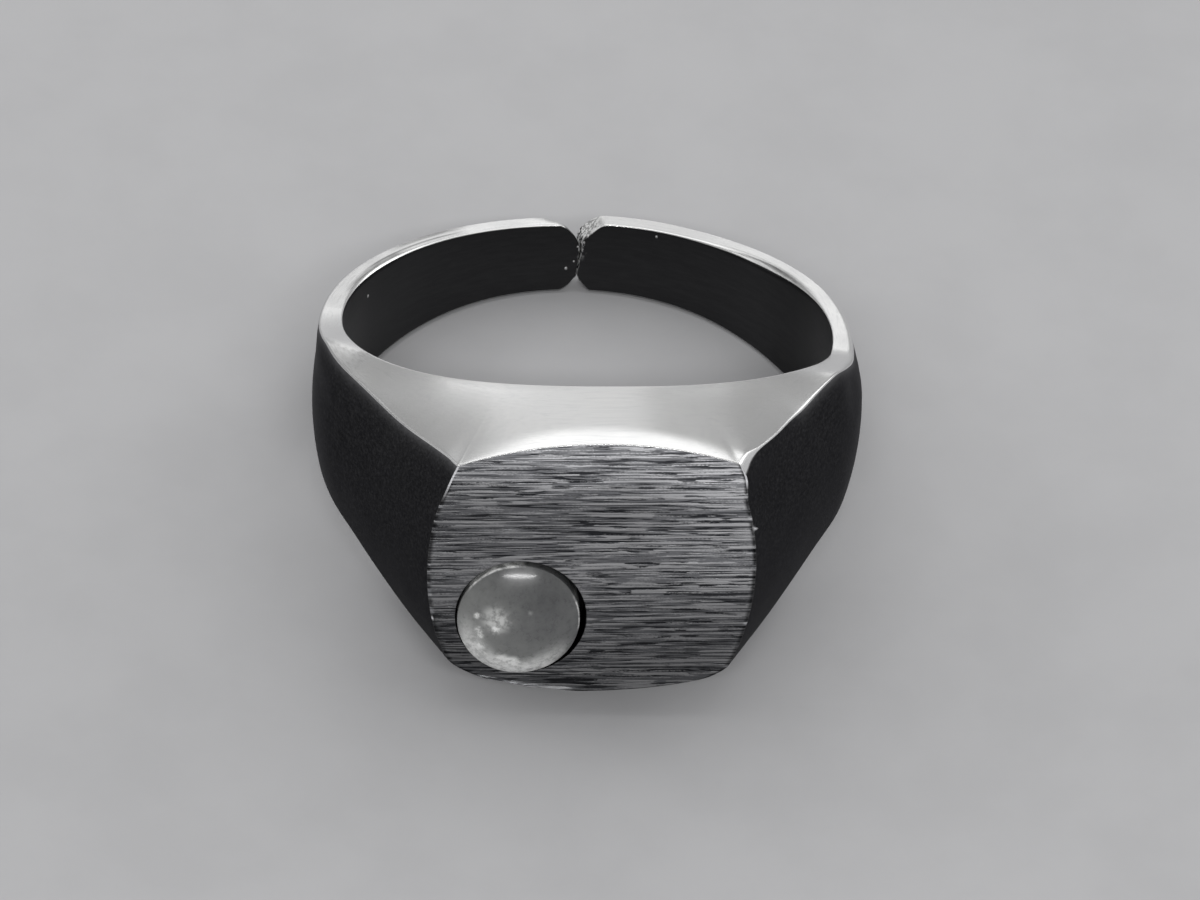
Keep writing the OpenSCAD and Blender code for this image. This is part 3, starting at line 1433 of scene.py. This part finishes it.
    @staticmethod
    def _rim_painted_light(degrees: np.ndarray, across: np.ndarray) -> np.ndarray:
        """Painted light and shade on the rims.

        Soft steps: painted shade from a slanted crease ahead of the finger on
        the left, and at the outer edge of both shoulders. Behind the left the
        inside is darker first, then a line and the outside, and behind the
        right the inside.

        Args:
            degrees: Angles from straight ahead, negative on the left.
            across: Places on the rim, 0 at the hole and 1 at the outside.

        Returns:
            The brightness, from 0 to 1.
        """
        crease = -66 - 13 * across
        creased = smooth_step(-1.5, 1.5, degrees - crease) * smooth_step(-54, -64, degrees)
        shoulders = plateau(np.abs(degrees), 22, 26, 47, 54) * smooth_step(0.6, 0.95, across)
        left = plateau(degrees, -160, -148, -99, -91)
        inner = plateau(degrees, -136, -130, -114, -102) * smooth_step(0.45, 0.15, across)
        line = plateau(degrees, -154, -146, -124, -116) * bell(across, 0.36, 0.09)
        outer = plateau(degrees, -156, -149, -137, -130) + smooth_step(-150, -156, degrees) * 0.5
        outer = np.minimum(outer, 1) * smooth_step(0.55, 0.85, across)
        right = plateau(degrees, 98, 116, 140, 156) * smooth_step(0.42, 0.02, across)
        tone = 1 - 0.45 * creased - 0.20 * shoulders - 0.36 * left
        return tone - 0.22 * inner - 0.26 * line - 0.22 * outer - 0.38 * right

    def _rim_rows(self, station: np.ndarray, level: Level) -> RimRows:
        """The rows of points over one rim, from the finger hole to the outside wall.

        Args:
            station: Places round the ring.
            level: Top or bottom.

        Returns:
            The rows with their painted light and shade.
        """
        plan, height = self._ridge(station, level)
        angle = np.arctan2(plan[:, 0], -plan[:, 1])
        bore = self.place.bore_radius
        span = np.linalg.norm(plan, axis=-1) - bore
        hole_drop, drop = self.tab_drop(station, level, 0.0), self.tab_drop(station, level)
        lens = self.worn_lens(angle, level)
        width = np.where(angle < 0, 0.05, 0.18) * lens
        bevel = np.minimum(0.07 + width, span * 0.4)
        roll, fall = self._ridge_widths(station, level)
        roll = np.minimum(roll, span * 0.4)
        slant = self.split_slant / bore * smooth_step(3.9, 4.0, np.abs(station))

        def point(distance: np.ndarray) -> np.ndarray:
            """The rim's points at a distance from the hole's axis.

            The outer edge's drop beside the split grows by the cube of the
            way outwards.

            Args:
                distance: The distance, by station.

            Returns:
                The points, by station.
            """
            turn = angle - slant * (1 - (distance - bore) / span)
            at = np.stack([np.sin(turn), -np.cos(turn)], axis=-1) * distance[:, None]
            lowered = hole_drop + (drop - hole_drop) * ((distance - bore) / span) ** 3
            over = self.rim_height(at[:, 0], at[:, 1], level) - lowered
            return np.concatenate([at, over[:, None] * level.value], axis=-1)

        inside_top = point(np.full_like(angle, bore))
        inside_end = inside_top - [0, 0, 1] * (bevel * 0.9 * level.value)[:, None]
        flat_start, flat_end = point(bore + bevel), point(bore + span - roll)
        # The worn facet is flat: its corner point lies half way between its ends.
        middle = (inside_end + flat_start) / 2
        corner = inside_top + (middle - inside_top) * 0.8 * lens[:, None]
        share = np.linspace(0, 1, self.panel_rows) ** 0.8
        flat = np.stack([point(bore + bevel + (span - roll - bevel) * s) for s in share], axis=1)
        ridge = np.concatenate([plan, (height * level.value)[:, None]], axis=-1)
        low = (height - fall) * level.value
        wall_end = np.concatenate([self.outside_point(station, low), low[:, None]], axis=-1)

        across = share[None, :]
        # Painted shade on the rounded corners beside the split, most on the left.
        cut = smooth_step(0.42, 0.62, drop)[:, None] * np.where(station < 0, 0.85, 0.3)[:, None]
        flat_tone = self._rim_painted_light(np.degrees(angle)[:, None], across) * (1 - cut)
        # Painted shade on the worn facet of the hole's edge, behind the right.
        shaded_lens = (1 - np.where(angle < 0, 0.0, 0.62) * lens)[:, None]
        bore_tone = np.repeat(shaded_lens * (1 - cut), self.bore_edge_rows, axis=1)
        # Painted light on the ridge: bright at its top, fading down towards the wall, most behind the left
        # and least behind the right, and not next to the face.
        down = ((np.arange(self.edge_rows) + 1) / (self.edge_rows + 1))[None, :]
        near_face = smooth_step(2.3, 2.05, np.abs(station))
        behind = smooth_step(3.0, 3.3, np.abs(station))
        end_tone = np.where(station < 0, 0.42 - 0.22 * behind, 0.42 + 0.3 * behind)
        end_tone = (end_tone + (1 - end_tone) * near_face)[:, None]
        ridge_tone = 1 + (end_tone - 1) * down
        # A painted dark line of shade parts the small facet from the head's top.
        parted = plateau(station, 1.6, 1.95, 2.06, 2.16)
        ridge_tone = ridge_tone - 0.6 * parted[:, None] * smooth_step(0.35, 0.1, down)
        # Underneath: painted shade on the rim and the hole's edge, and a painted highlight along the ridge
        # under the left of the face.
        if level is Level.BOTTOM:
            lit = plateau(plan[:, 0], -4.8, -4.2, -1.2, -0.2)
            ridge_tone = (0.15 + 0.75 * lit * (np.abs(station) < self.FACE_END))[:, None] + 0 * down
            flat_tone = flat_tone * 0.5
            bore_tone = bore_tone * 0.1
        return RimRows(
            inside=inside_end,
            bore_edge=bend(inside_end, corner, flat_start, self.bore_edge_rows),
            flat=flat,
            ridge=bend(flat_end, ridge, wall_end, self.edge_rows),
            wall=wall_end,
            bore_tone=bore_tone,
            flat_tone=flat_tone,
            ridge_tone=ridge_tone,
        )

    def _wall_tone(self, station: np.ndarray, x: np.ndarray, z: np.ndarray, top: np.ndarray) -> np.ndarray:
        """Painted light and shade on the outside wall at a place.

        On the face, painted light: soft steps up the face and to the upper right,
        with painted shade towards the bottom and left. Along its sides, a ragged
        edge of random bright spots. On the shoulders and behind, brighter by e to
        minus the distance below the ridge, but not under the small facet, which leaves a painted dark line.

        Args:
            station: Places round the ring.
            x: Places across.
            z: Heights.
            top: Height of the wall's top.

        Returns:
            The painted light, from 0 to 1.
        """
        face = 0.26 + 0.215 * smooth_step(-4.2, 0.5, z) + 0.5 * smooth_step(2.4, 5.2, z)
        face = face + 0.18 * smooth_step(1, 4.5, x) * smooth_step(-1.5, 1, z)
        face = face - 0.06 * smooth_step(-2.0, -4.0, x)
        spots = smooth_step(0.1, 0.9, lattice_noise(z / 0.16 + 50, z * 0 + np.sign(x) * 3.5 + 20, seed=31))
        upper_left = smooth_step(3.3, 4.1, z) * (x < 0)
        ragged = 0.12 + 0.75 * np.maximum(spots, upper_left)
        # No brightening under the small facet leaves a painted dark line of shade there.
        below_facet = smooth_step(2.45, 2.25, station) * (station > 0)
        rubbed = np.exp(-(top - z) / 0.16) * (1 - below_facet)
        run = np.abs(station)
        return np.select([run < self.FACE_END, run < self.EDGE_END], [face, ragged], rubbed)

    def _face_share(self, station: np.ndarray) -> np.ndarray:
        """How much of the brush marks' depth shows at a place round the ring: all on the face."""
        return smooth_step(1.9, 1.2, np.abs(station))

    def _crumbs_and_glints(
        self, station: np.ndarray, section: np.ndarray, rim_part: slice, wall_part: slice
    ) -> np.ndarray:
        """Where the metal is torn or burnished, which the materials paint with glints.

        Soft steps beside the split, all over the cut corner right of it, and
        on the side edges of the face near its upper corners and at its burrs.

        Args:
            station: Places round the ring, in one column.
            section: All points by station and row.
            rim_part: Rows of the upper rim.
            wall_part: Rows of the outside wall.

        Returns:
            The share, by station and row.
        """
        before_split = self._before_split(station)
        reach = np.where(station < 0, 0.06, 0.2)
        crumbs = smooth_step(reach, 0.3 * reach, before_split) * smooth_step(-0.2, 0.6, section[..., 2])
        torn = 0.8 * smooth_step(0.95, 0.5, before_split) * (station > 0)
        crumbs[:, rim_part] = np.maximum(crumbs[:, rim_part], torn)
        run, wall_z = np.abs(station), section[:, wall_part, 2]
        on_edge = (run > self.FACE_END) & (run < self.EDGE_END)
        corner = np.where(station < 0, smooth_step(2.7, 3.7, wall_z), smooth_step(3.6, 3.9, wall_z))
        burr = bell(wall_z, np.where(station < 0, self.left_burr, self.right_burr), 0.07)
        crumbs[:, wall_part] += on_edge * (corner + burr)
        return crumbs

    def build(self, draft: MeshDraft) -> None:
        """Builds the whole band as one closed surface.

        A tube whose section runs up the finger hole's wall, over the upper
        rim, down the outside and back under the lower rim, carried round the
        ring from one side of the split to the other.

        Args:
            draft: Where the points and faces go.
        """
        station = self.stations()
        top, bottom = self._rim_rows(station, Level.TOP), self._rim_rows(station, Level.BOTTOM)
        climb = np.linspace(0, 1, self.inside_rows)[None, :]
        inside_z = bottom.inside[:, 2:] * (1 - climb) + top.inside[:, 2:] * climb
        behind = self.outside_point(station[:, None], inside_z)
        turn = np.arctan2(behind[..., 0], -behind[..., 1])
        ends = np.stack([bottom.inside, top.inside], axis=1)
        end_turn = np.arctan2(ends[..., 0], -ends[..., 1])
        # The first and last rows meet the rims' own points.
        off = (end_turn - turn[:, [0, -1]] + math.pi) % (2 * math.pi) - math.pi
        turn = turn + off[:, :1] * (1 - climb) + off[:, 1:] * climb
        bore = self.place.bore_radius
        inside = np.stack([bore * np.sin(turn), -bore * np.cos(turn), inside_z], axis=-1)

        # Painted shade: the finger hole's wall is painted darkest beside the finger, on the right most of
        # all.
        beside = 0.85 * smooth_step(6.5, 8.9, inside[..., 0]) + 0.5 * smooth_step(-6.5, -8.9, inside[..., 0])
        inside_tone = 0.9 - beside

        descent = np.linspace(0, 1, self.wall_rows)[None, :]
        wall_z = top.wall[:, 2:] * (1 - descent) + bottom.wall[:, 2:] * descent
        wall_plan = self.outside_point(station[:, None], wall_z)
        share = self._face_share(station)[:, None]
        marks = self.marks.height(wall_plan[..., 0], wall_z) * share
        wall_plan[..., 1] += self.marks.depth * (marks + 1) * share
        wall = np.concatenate([wall_plan, wall_z[..., None]], axis=-1)
        wall_tone = self._wall_tone(station[:, None], wall_plan[..., 0], wall_z, wall_z[:, :1])

        blocks = [
            (inside, inside_tone, Slot.INSIDE),
            (top.bore_edge, top.bore_tone, Slot.POLISHED),
            (top.flat, top.flat_tone, Slot.POLISHED),
            (top.ridge, top.ridge_tone, Slot.POLISHED),
            (wall, wall_tone, Slot.SATIN),
            (bottom.ridge[:, ::-1], bottom.ridge_tone, Slot.POLISHED),
            (bottom.flat[:, ::-1], bottom.flat_tone, Slot.POLISHED),
            (bottom.bore_edge[:, ::-1], bottom.bore_tone, Slot.POLISHED),
        ]
        sizes = [points.shape[1] for points, _, _ in blocks]
        wall_start = sum(sizes[:4])
        wall_part = slice(wall_start, wall_start + self.wall_rows)
        section = np.concatenate([points for points, _, _ in blocks], axis=1)
        shades = [np.broadcast_to(tone, points.shape[:2]) for points, tone, _ in blocks]
        tones = np.concatenate(shades, axis=1)
        cuts, lips = np.zeros(tones.shape), np.zeros(tones.shape)
        cuts[:, wall_part] = marks
        # The lower edge of the face is burnished up to a thin lip on the left.
        on_face = np.abs(station)[:, None] < self.FACE_END
        burnished = plateau(wall_plan[..., 0], -5.0, -4.2, -1.2, 0.2) * on_face
        lips[:, wall_part] = burnished * smooth_step(0.14, 0.0, wall_z - wall_z[:, -1:])
        crumbs = self._crumbs_and_glints(station[:, None], section, slice(sizes[0], wall_start), wall_part)
        index = draft.add_points(section, marks=cuts, tone=tones, crumbs=crumbs, lip=lips)

        row_slots = np.repeat([int(slot) for _, _, slot in blocks], sizes)
        slot_table = np.repeat(row_slots[None, :], len(station) - 1, axis=0)
        between = np.abs((station[:-1] + station[1:]) / 2)[:, None]
        on_front = (slot_table == Slot.SATIN) & (between < self.EDGE_END)
        slot_table = np.where(on_front, int(Slot.BRUSHED), slot_table)
        keep = np.ones(slot_table.shape, bool)
        block = self._seat_block(section, station, wall_start)
        first, last, high, low = block
        keep[first:last, high:low] = False
        draft.add_grid(index, slot_table, round_second=True, keep=keep)
        self._close_end(draft, section[0], index[0], closing=False)
        self._close_end(draft, section[-1], index[-1], closing=True)
        self._build_seat(draft, section, index, block)

    def _seat_block(
        self, section: np.ndarray, station: np.ndarray, wall_start: int
    ) -> tuple[int, int, int, int]:
        """The block of the face's squares that makes room for the seat.

        Args:
            section: All points by station and row.
            station: Places round the ring.
            wall_start: First row of the outside wall.

        Returns:
            First and last station, and highest and lowest row.
        """
        margin = 0.22
        on_face = np.flatnonzero(np.abs(station) <= self.FACE_END)
        middle_row = wall_start + self.wall_rows // 2
        across = section[on_face, middle_row, 0]
        first = on_face[np.searchsorted(across, self.seat.x - self.seat.radius - 2 * margin)]
        last = on_face[np.searchsorted(across, self.seat.x + self.seat.radius + margin)]
        heights = -section[on_face[len(on_face) // 4], wall_start : wall_start + self.wall_rows, 2]
        high = wall_start + int(np.searchsorted(heights, -(self.seat.z + self.seat.radius + margin)))
        low = wall_start + int(np.searchsorted(heights, -(self.seat.z - self.seat.radius - margin)))
        return int(first), int(last), high, low

    def _build_seat(
        self, draft: MeshDraft, section: np.ndarray, index: np.ndarray, block: tuple[int, int, int, int]
    ) -> None:
        """Fills the block with rings of squares that close in on the seat, and builds its wall and floor.

        Each ring point lies on the straight line from the block's edge to
        the circle's point in the same direction from the seat's middle.

        Args:
            draft: Where the points and faces go.
            section: All points by station and row.
            index: Their numbers.
            block: What _seat_block gave.
        """
        first, last, high, low = block
        columns, rows = np.arange(first, last), np.arange(high, low)
        along = np.concatenate(
            [
                np.stack([columns, np.full_like(columns, high)], axis=-1),
                np.stack([np.full_like(rows, last), rows], axis=-1),
                np.stack([np.arange(last, first, -1), np.full_like(columns, low)], axis=-1),
                np.stack([np.full_like(rows, first), np.arange(low, high, -1)], axis=-1),
            ]
        )
        outer = section[along[:, 0], along[:, 1]]
        rings = [index[along[:, 0], along[:, 1]]]
        seat = self.seat
        middle = np.array([seat.x, seat.z])
        offset = outer[:, [0, 2]] - middle
        heading = offset / np.linalg.norm(offset, axis=-1, keepdims=True)
        face_y = -self.face_ahead

        def ring(plan: np.ndarray, y: np.ndarray | float, marks: np.ndarray | float) -> None:
            """Adds one ring of points on the face or in the seat, which is painted black as shade.

            Args:
                plan: Places across and up.
                y: Depths.
                marks: Height of the brush marks.
            """
            points = np.stack([plan[:, 0], np.broadcast_to(y, len(plan)), plan[:, 1]], axis=-1)
            on_face = self._wall_tone(np.zeros(1), plan[:, 0], plan[:, 1], np.zeros(1))
            # Below the face the seat is painted black as shade.
            tone = np.where(points[:, 1] > face_y + 2 * self.marks.depth + 0.01, 0.0, on_face)
            rings.append(draft.add_points(points, marks=marks, tone=tone))

        # The lip is worn away below the stone, which closes the seat there.
        lip = seat.lip * (0.12 + 0.88 * smooth_step(-0.7, 0.1, heading[:, 0] * 0.35 + heading[:, 1] * 0.94))
        start, stop = middle + offset, middle + heading * (seat.radius + lip)[:, None]
        for share in np.linspace(0, 1, 10)[1:]:
            plan = start * (1 - share) + stop * share
            marks = self.marks.height(plan[:, 0], plan[:, 1])
            ring(plan, face_y + self.marks.depth * (marks + 1), marks)
        edge_marks = self.marks.height(stop[:, 0], stop[:, 1])
        face_count = len(rings)
        for turn in np.linspace(0, math.pi / 2, 5)[1:]:
            radius = seat.radius + lip * (1 - math.sin(turn))
            sunk = self.marks.depth * (edge_marks + 1) + lip * (1 - math.cos(turn))
            ring(middle + heading * radius[:, None], face_y + sunk, 0.0)
        for deep in np.linspace(0.2, 1, 8):
            ring(middle + heading * seat.radius, face_y + seat.depth * deep, 0.0)
        for inward in (0.97, 0.7, 0.35):
            ring(middle + heading * seat.radius * inward, face_y + seat.depth, 0.0)
        table = np.stack(rings, axis=1)
        ring_slots = np.full(table.shape[1] - 1, int(Slot.INSIDE))
        ring_slots[: face_count + 1] = Slot.BRUSHED
        draft.add_grid(table, ring_slots[None, :], round_first=True)
        floor = draft.add_points(np.array([[seat.x, face_y + seat.depth, seat.z]]))
        draft.add_fan(table[:, -1], int(floor[0]), int(Slot.INSIDE), closing=False)

    def _close_end(self, draft: MeshDraft, loop: np.ndarray, index: np.ndarray, closing: bool) -> None:
        """Closes the band's end at the split with a slightly rounded cap.

        Rings of the end's outline, drawn in towards its middle by a share
        and pushed towards the split.

        Args:
            draft: Where the points and faces go.
            loop: The end's outline.
            index: Its points' numbers.
            closing: Whether this is the last station, and not the first.
        """
        middle = loop.mean(axis=0)
        push = -1.0 if closing else 1.0
        rings = [index]
        # The cap carries the ends' painted light and painted glints on torn metal.
        for share, swell in ((0.95, 0.006), (0.85, 0.012), (0.6, 0.016)):
            points = middle + (loop - middle) * share
            points[:, 0] += push * swell
            rings.append(draft.add_points(points, tone=self.END_TONE, crumbs=1.0))
        table = np.stack(rings if closing else rings[::-1], axis=0)
        draft.add_grid(table, int(Slot.POLISHED), round_second=True)
        middle[0] += push * 0.017
        centre = draft.add_points(middle[None], tone=self.END_TONE, crumbs=1.0)
        draft.add_fan(rings[-1], int(centre[0]), int(Slot.POLISHED), closing)

    def dress(self, draft: MeshDraft) -> bpy.types.Object:
        """Makes the object with its finishes and ties it to the CAD model.

        Args:
            draft: The built draft.

        Returns:
            The silver band.
        """
        finishes = [
            PolishedSilver().make(self.place),
            BrushedSilver().make(self.place, -self.marks.slope),
            SatinSilver().make(self.place),
            DarkInside().make(self.place),
        ]
        band = draft.make("silver_band", finishes)
        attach(band, "root")
        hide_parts("signet_band")
        return band


@dataclass(frozen=True)
class Glow:
    """A soft bright patch in the stone: one of its clouds, with painted glow.

    Attributes:
        x: Its middle from the stone's, along x, in mm.
        z: The same along z.
        size: Its radius, in mm.
        strength: How bright it is.
    """

    x: float
    z: float
    size: float
    strength: float


@dataclass
class OpalStone:
    """The round domed stone, set nearly flush in its seat.

    Attributes:
        place: How the ring lies.
        seat: The seat that holds it.
        face_ahead: Distance of the face from the hole's middle.
        radius: Half the stone's width.
        tallness: How much taller than wide it is.
        shift_x: How far it sits from the seat's middle along x.
        shift_z: The same along z.
        sunk: How far its edge lies under the face.
        dome: Height of its dome.
        base_gap: Space between it and the seat's floor.
        glows: Bright patches in it: clouds with painted glow.
        edge: Size of the rounding of its edge.
        around: Number of points round it.
        dome_rows: Number of rows over its dome.
    """

    place: RingPlace
    seat: StoneSeat
    face_ahead: float
    radius: float = 2.28
    tallness: float = 1.035
    shift_x: float = -0.08
    shift_z: float = -0.085
    sunk: float = 0.0
    dome: float = 0.81
    base_gap: float = 0.1
    glows: tuple[Glow, ...] = (
        Glow(-0.85, 0.36, 0.5, 0.55),
        Glow(-0.86, -0.06, 0.17, 0.6),
        Glow(-1.55, 0.40, 0.11, 1.2),
        Glow(-1.47, -0.20, 0.14, 1.1),
        Glow(-1.42, -0.42, 0.13, 1.0),
        Glow(-1.36, -0.9, 0.12, 0.9),
        Glow(-0.55, -1.42, 0.24, 0.6),
        Glow(-0.15, -1.55, 0.26, 0.7),
        Glow(0.4, 0.75, 0.09, 0.22),
    )
    edge: float = 0.02
    around: int = 128
    dome_rows: int = 44

    def build(self, draft: MeshDraft) -> None:
        """Builds the stone: a profile turned about its axis.

        The dome is part of a ball, a short bend rounds its edge, and a
        straight side goes down to a flat base.

        Args:
            draft: Where the points and faces go.
        """
        ball = (self.radius**2 + self.dome**2) / (2 * self.dome)
        out = self.radius * np.sin(np.linspace(0, math.pi / 2, self.dome_rows))[1:]
        out = out * (1 - self.edge / self.radius)
        up = np.sqrt(ball**2 - out**2) - ball + self.dome
        side_down = -(self.seat.depth - self.base_gap - self.sunk)
        start = np.array([[out[-1], up[-1]]])
        corner, end = np.array([[self.radius, 0.0]]), np.array([[self.radius, -self.edge * 2]])
        rounding = bend(start, corner, end, 3)[0]
        side = np.stack([np.full(5, self.radius), np.linspace(-self.edge * 2, side_down, 5)], axis=-1)
        base = np.array([[self.radius * 0.96, side_down], [self.radius * 0.5, side_down]])
        profile = np.concatenate([np.stack([out, up], axis=-1), rounding, side, base])
        turn = np.linspace(0, 2 * math.pi, self.around, endpoint=False)[:, None]
        x = -profile[:, 0] * np.sin(turn)
        z = profile[:, 0] * np.cos(turn) * self.tallness
        y = np.broadcast_to(-profile[:, 1], x.shape)
        origin = [self.seat.x + self.shift_x, self.sunk - self.face_ahead, self.seat.z + self.shift_z]
        points = np.stack([x, y, z], axis=-1) + origin
        cloud, milk = self._cloud_and_glow(x, z), self._milk_and_light(x, z)
        index = draft.add_points(points, cloud=cloud, milk=milk, rim_glow=self._rim_glow(x, z))
        draft.add_grid(index, 0, round_first=True)
        ends = np.array([[0, -self.dome, 0], [0, -side_down, 0]], float) + origin
        zero = np.zeros(2)
        tip, foot = draft.add_points(ends, cloud=self._cloud_and_glow(zero, zero), milk=self._milk_and_light(zero, zero))
        first, last = index[:, 0], index[:, -1]
        draft.add_fan(first, int(tip), 0, closing=True)
        draft.add_fan(last, int(foot), 0, closing=False)

    def _cloud_and_glow(self, x: np.ndarray, z: np.ndarray) -> np.ndarray:
        """Brightness of the patches, painted as glow, and a painted highlight on the edge where it catches
        light.

        For each patch, its strength times e to minus the fourth power of the
        distance over its size. Along the upper left and the right, a painted
        highlight by a soft step at the very edge.

        Args:
            x: Places across, from the stone's middle.
            z: Places up, from there.

        Returns:
            The brightness.
        """
        total = np.zeros_like(x)
        for glow in self.glows:
            away = ((x - glow.x) ** 2 + (z - glow.z) ** 2) / glow.size**2
            total = total + glow.strength * np.exp(-(away**2))
        light = np.minimum(total, 1)
        out = np.hypot(x, z / self.tallness) / self.radius
        bearing = np.degrees(np.arctan2(z, x))
        caught = plateau(bearing, 84, 94, 138, 150) + plateau(bearing, -12, -2, 20, 32)
        return light + 0.8 * caught * smooth_step(0.968, 0.988, out)

    def _rim_glow(self, x: np.ndarray, z: np.ndarray) -> np.ndarray:
        """Painted glow of light gathered along the lower left edge.

        Soft steps outwards and to that side, weaker at the very edge except
        at the bottom.

        Args:
            x: Places across, from the stone's middle.
            z: Places up, from there.

        Returns:
            The light, from 0 to 1.
        """
        out = np.hypot(x, z / self.tallness) / self.radius
        towards = -(0.25 * x + 0.95 * z) / self.radius
        edge = 1 - 0.6 * smooth_step(0.84, 1.0, out) * smooth_step(0.75, 0.45, towards)
        return smooth_step(0.48, 0.85, out) * smooth_step(-0.05, 0.75, towards) * edge

    def _milk_and_light(self, x: np.ndarray, z: np.ndarray) -> np.ndarray:
        """Painted light on the milky stone: a soft step, lighter from its upper right to its lower left."""
        return smooth_step(1.9, -1.9, x * 0.75 + z * 0.65)

    def dress(self, draft: MeshDraft) -> bpy.types.Object:
        """Makes the object with its finish and ties it to the CAD model.

        Args:
            draft: The built draft.

        Returns:
            The stone.
        """
        stone = draft.make("opal_stone", [MilkyOpal().make(self.place)])
        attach(stone, "root")
        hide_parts("opal_cabochon")
        return stone


@dataclass(frozen=True)
class SoftLight:
    """A soft box that looks at the ring.

    Attributes:
        name: Its name.
        azimuth: Where it stands, in degrees from behind the ring, positive to the right.
        elevation: Its height over the horizon as the ring sees it, in degrees.
        distance: Its distance from the ring, in metres.
        width: Its width, in metres.
        height: Its height, in metres.
        brightness: How bright its face is.
        shape: Its outline.
    """

    name: str
    azimuth: float
    elevation: float
    distance: float
    width: float
    height: float
    brightness: float
    shape: str = "RECTANGLE"

    def build(self) -> None:
        """Sets the light up, unseen by the camera itself."""
        light = bpy.data.lights.new(self.name, "AREA")
        light.shape = self.shape
        light.size, light.size_y = self.width, self.height
        light.energy = self.brightness * math.pi * self.width * self.height
        lamp = bpy.data.objects.new(self.name, light)
        azimuth, elevation = math.radians(self.azimuth), math.radians(self.elevation)
        flat = math.cos(elevation)
        towards = Vector((math.sin(azimuth) * flat, math.cos(azimuth) * flat, math.sin(elevation)))
        lamp.location = towards * self.distance
        lamp.rotation_euler = towards.to_track_quat("Z", "Y").to_euler()
        lamp.visible_camera = False
        bpy.context.scene.collection.objects.link(lamp)


@dataclass
class Studio:
    """Pale floor, soft light and a plain surround.

    Attributes:
        floor_half: Half the floor's side, in metres.
        surround: Brightness of everything round the floor.
        lights: The soft boxes.
    """

    floor_half: float = 1.5
    surround: float = 0.34
    lights: tuple[SoftLight, ...] = (
        SoftLight("back_box", -5.25, 16, 0.6, 0.28, 0.30, 0.22),
        SoftLight("back_fill", 1.5, 16, 0.62, 0.46, 0.31, 0.10),
        SoftLight("low_strip", 1, 5, 0.64, 0.3, 0.08, 0.62),
        SoftLight("left_box", -71, 30, 0.5, 0.24, 0.28, 1.5),
        SoftLight("right_box", 61, 22, 0.5, 0.28, 0.35, 1.5),
        SoftLight("top_box", 0, 61, 0.5, 0.6, 0.60, 0.9),
        SoftLight("front_strip", 179, 44, 0.5, 0.36, 0.035, 19.0, "ELLIPSE"),
    )

    def build(self) -> None:
        """Builds the floor, the surround and the lights."""
        half = self.floor_half
        mesh = bpy.data.meshes.new("floor")
        corners = [(-half, -half, 0), (half, -half, 0), (half, half, 0), (-half, half, 0)]
        mesh.from_pydata(corners, [], [(0, 1, 2, 3)])
        mesh.materials.append(PaleFloor().make())
        floor = bpy.data.objects.new("floor", mesh)
        bpy.context.scene.collection.objects.link(floor)
        world = bpy.data.worlds.new("surround")
        world.use_nodes = True
        world.node_tree.nodes["Background"].inputs[0].default_value = (self.surround,) * 3 + (1,)
        bpy.context.scene.world = world
        for light in self.lights:
            light.build()
            log.info("light %s", light.name)
        bpy.context.scene.view_settings.view_transform = "Standard"


@dataclass
class PhotoCamera:
    """The camera that the photograph was taken with, as its outlines show.

    Attributes:
        place: How the ring lies.
        distance: From the middle of the finger hole, in mm.
        elevation: Over the finger hole's own plane, in radians.
        azimuth: Turn to the right round the ring, in radians.
        roll: Turn of the picture, in radians.
        focal_pixels: Focal length in pixels of the photograph.
        photo_width: Width of the photograph, in pixels.
        photo_height: Its height.
        hole_x: Where the middle of the finger hole shows, in pixels from the left.
        hole_y: The same from the top.
        sensor_mm: Width of the sensor, in mm.
    """

    place: RingPlace
    distance: float = 400.0
    elevation: float = 0.5498
    azimuth: float = -0.0489
    roll: float = 0.0511
    focal_pixels: float = 10513.6
    photo_width: float = 1200.0
    photo_height: float = 900.0
    hole_x: float = 584.9
    hole_y: float = 383.73
    sensor_mm: float = 36.0

    def build(self) -> bpy.types.Object:
        """Sets the camera up and makes it the scene's.

        Returns:
            The camera.
        """
        sin_a, cos_a = math.sin(self.azimuth), math.cos(self.azimuth)
        sin_e, cos_e = math.sin(self.elevation), math.cos(self.elevation)
        forward = np.array([-sin_a * cos_e, cos_a * cos_e, -sin_e])
        level = np.array([cos_a, sin_a, 0.0])
        rise = np.cross(level, forward)
        right = math.cos(self.roll) * level + math.sin(self.roll) * rise
        up = math.cos(self.roll) * rise - math.sin(self.roll) * level
        stand = -self.distance * forward
        aim_right = (self.photo_width / 2 - self.hole_x) / self.focal_pixels
        aim_up = (self.hole_y - self.photo_height / 2) / self.focal_pixels
        aim = forward + aim_right * right + aim_up * up
        back = -Vector(self.place.turned(aim)).normalized()
        side = Vector(self.place.turned(right))
        side = (side - back * side.dot(back)).normalized()
        data = bpy.data.cameras.new("photo_camera")
        data.sensor_width = self.sensor_mm
        data.lens = self.focal_pixels / self.photo_width * self.sensor_mm
        data.clip_start = 0.01
        camera = bpy.data.objects.new("photo_camera", data)
        turn = Matrix((side, back.cross(side), back)).transposed().to_4x4()
        camera.matrix_world = Matrix.Translation(Vector(self.place.laid_down(stand))) @ turn
        bpy.context.scene.collection.objects.link(camera)
        bpy.context.scene.camera = camera
        return camera


def main() -> None:
    """Builds the ring's two pieces, the studio and the camera."""
    logging.basicConfig(level=logging.INFO, format="%(name)s: %(message)s")
    place = RingPlace.from_record(frame["record"])
    band = SignetBand(place)
    band_draft = MeshDraft(place)
    band.build(band_draft)
    band.dress(band_draft)
    stone = OpalStone(place, band.seat, band.face_ahead)
    stone_draft = MeshDraft(place)
    stone.build(stone_draft)
    stone.dress(stone_draft)
    Studio().build()
    PhotoCamera(place).build()
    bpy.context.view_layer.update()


if __name__ == "__main__":
    main()
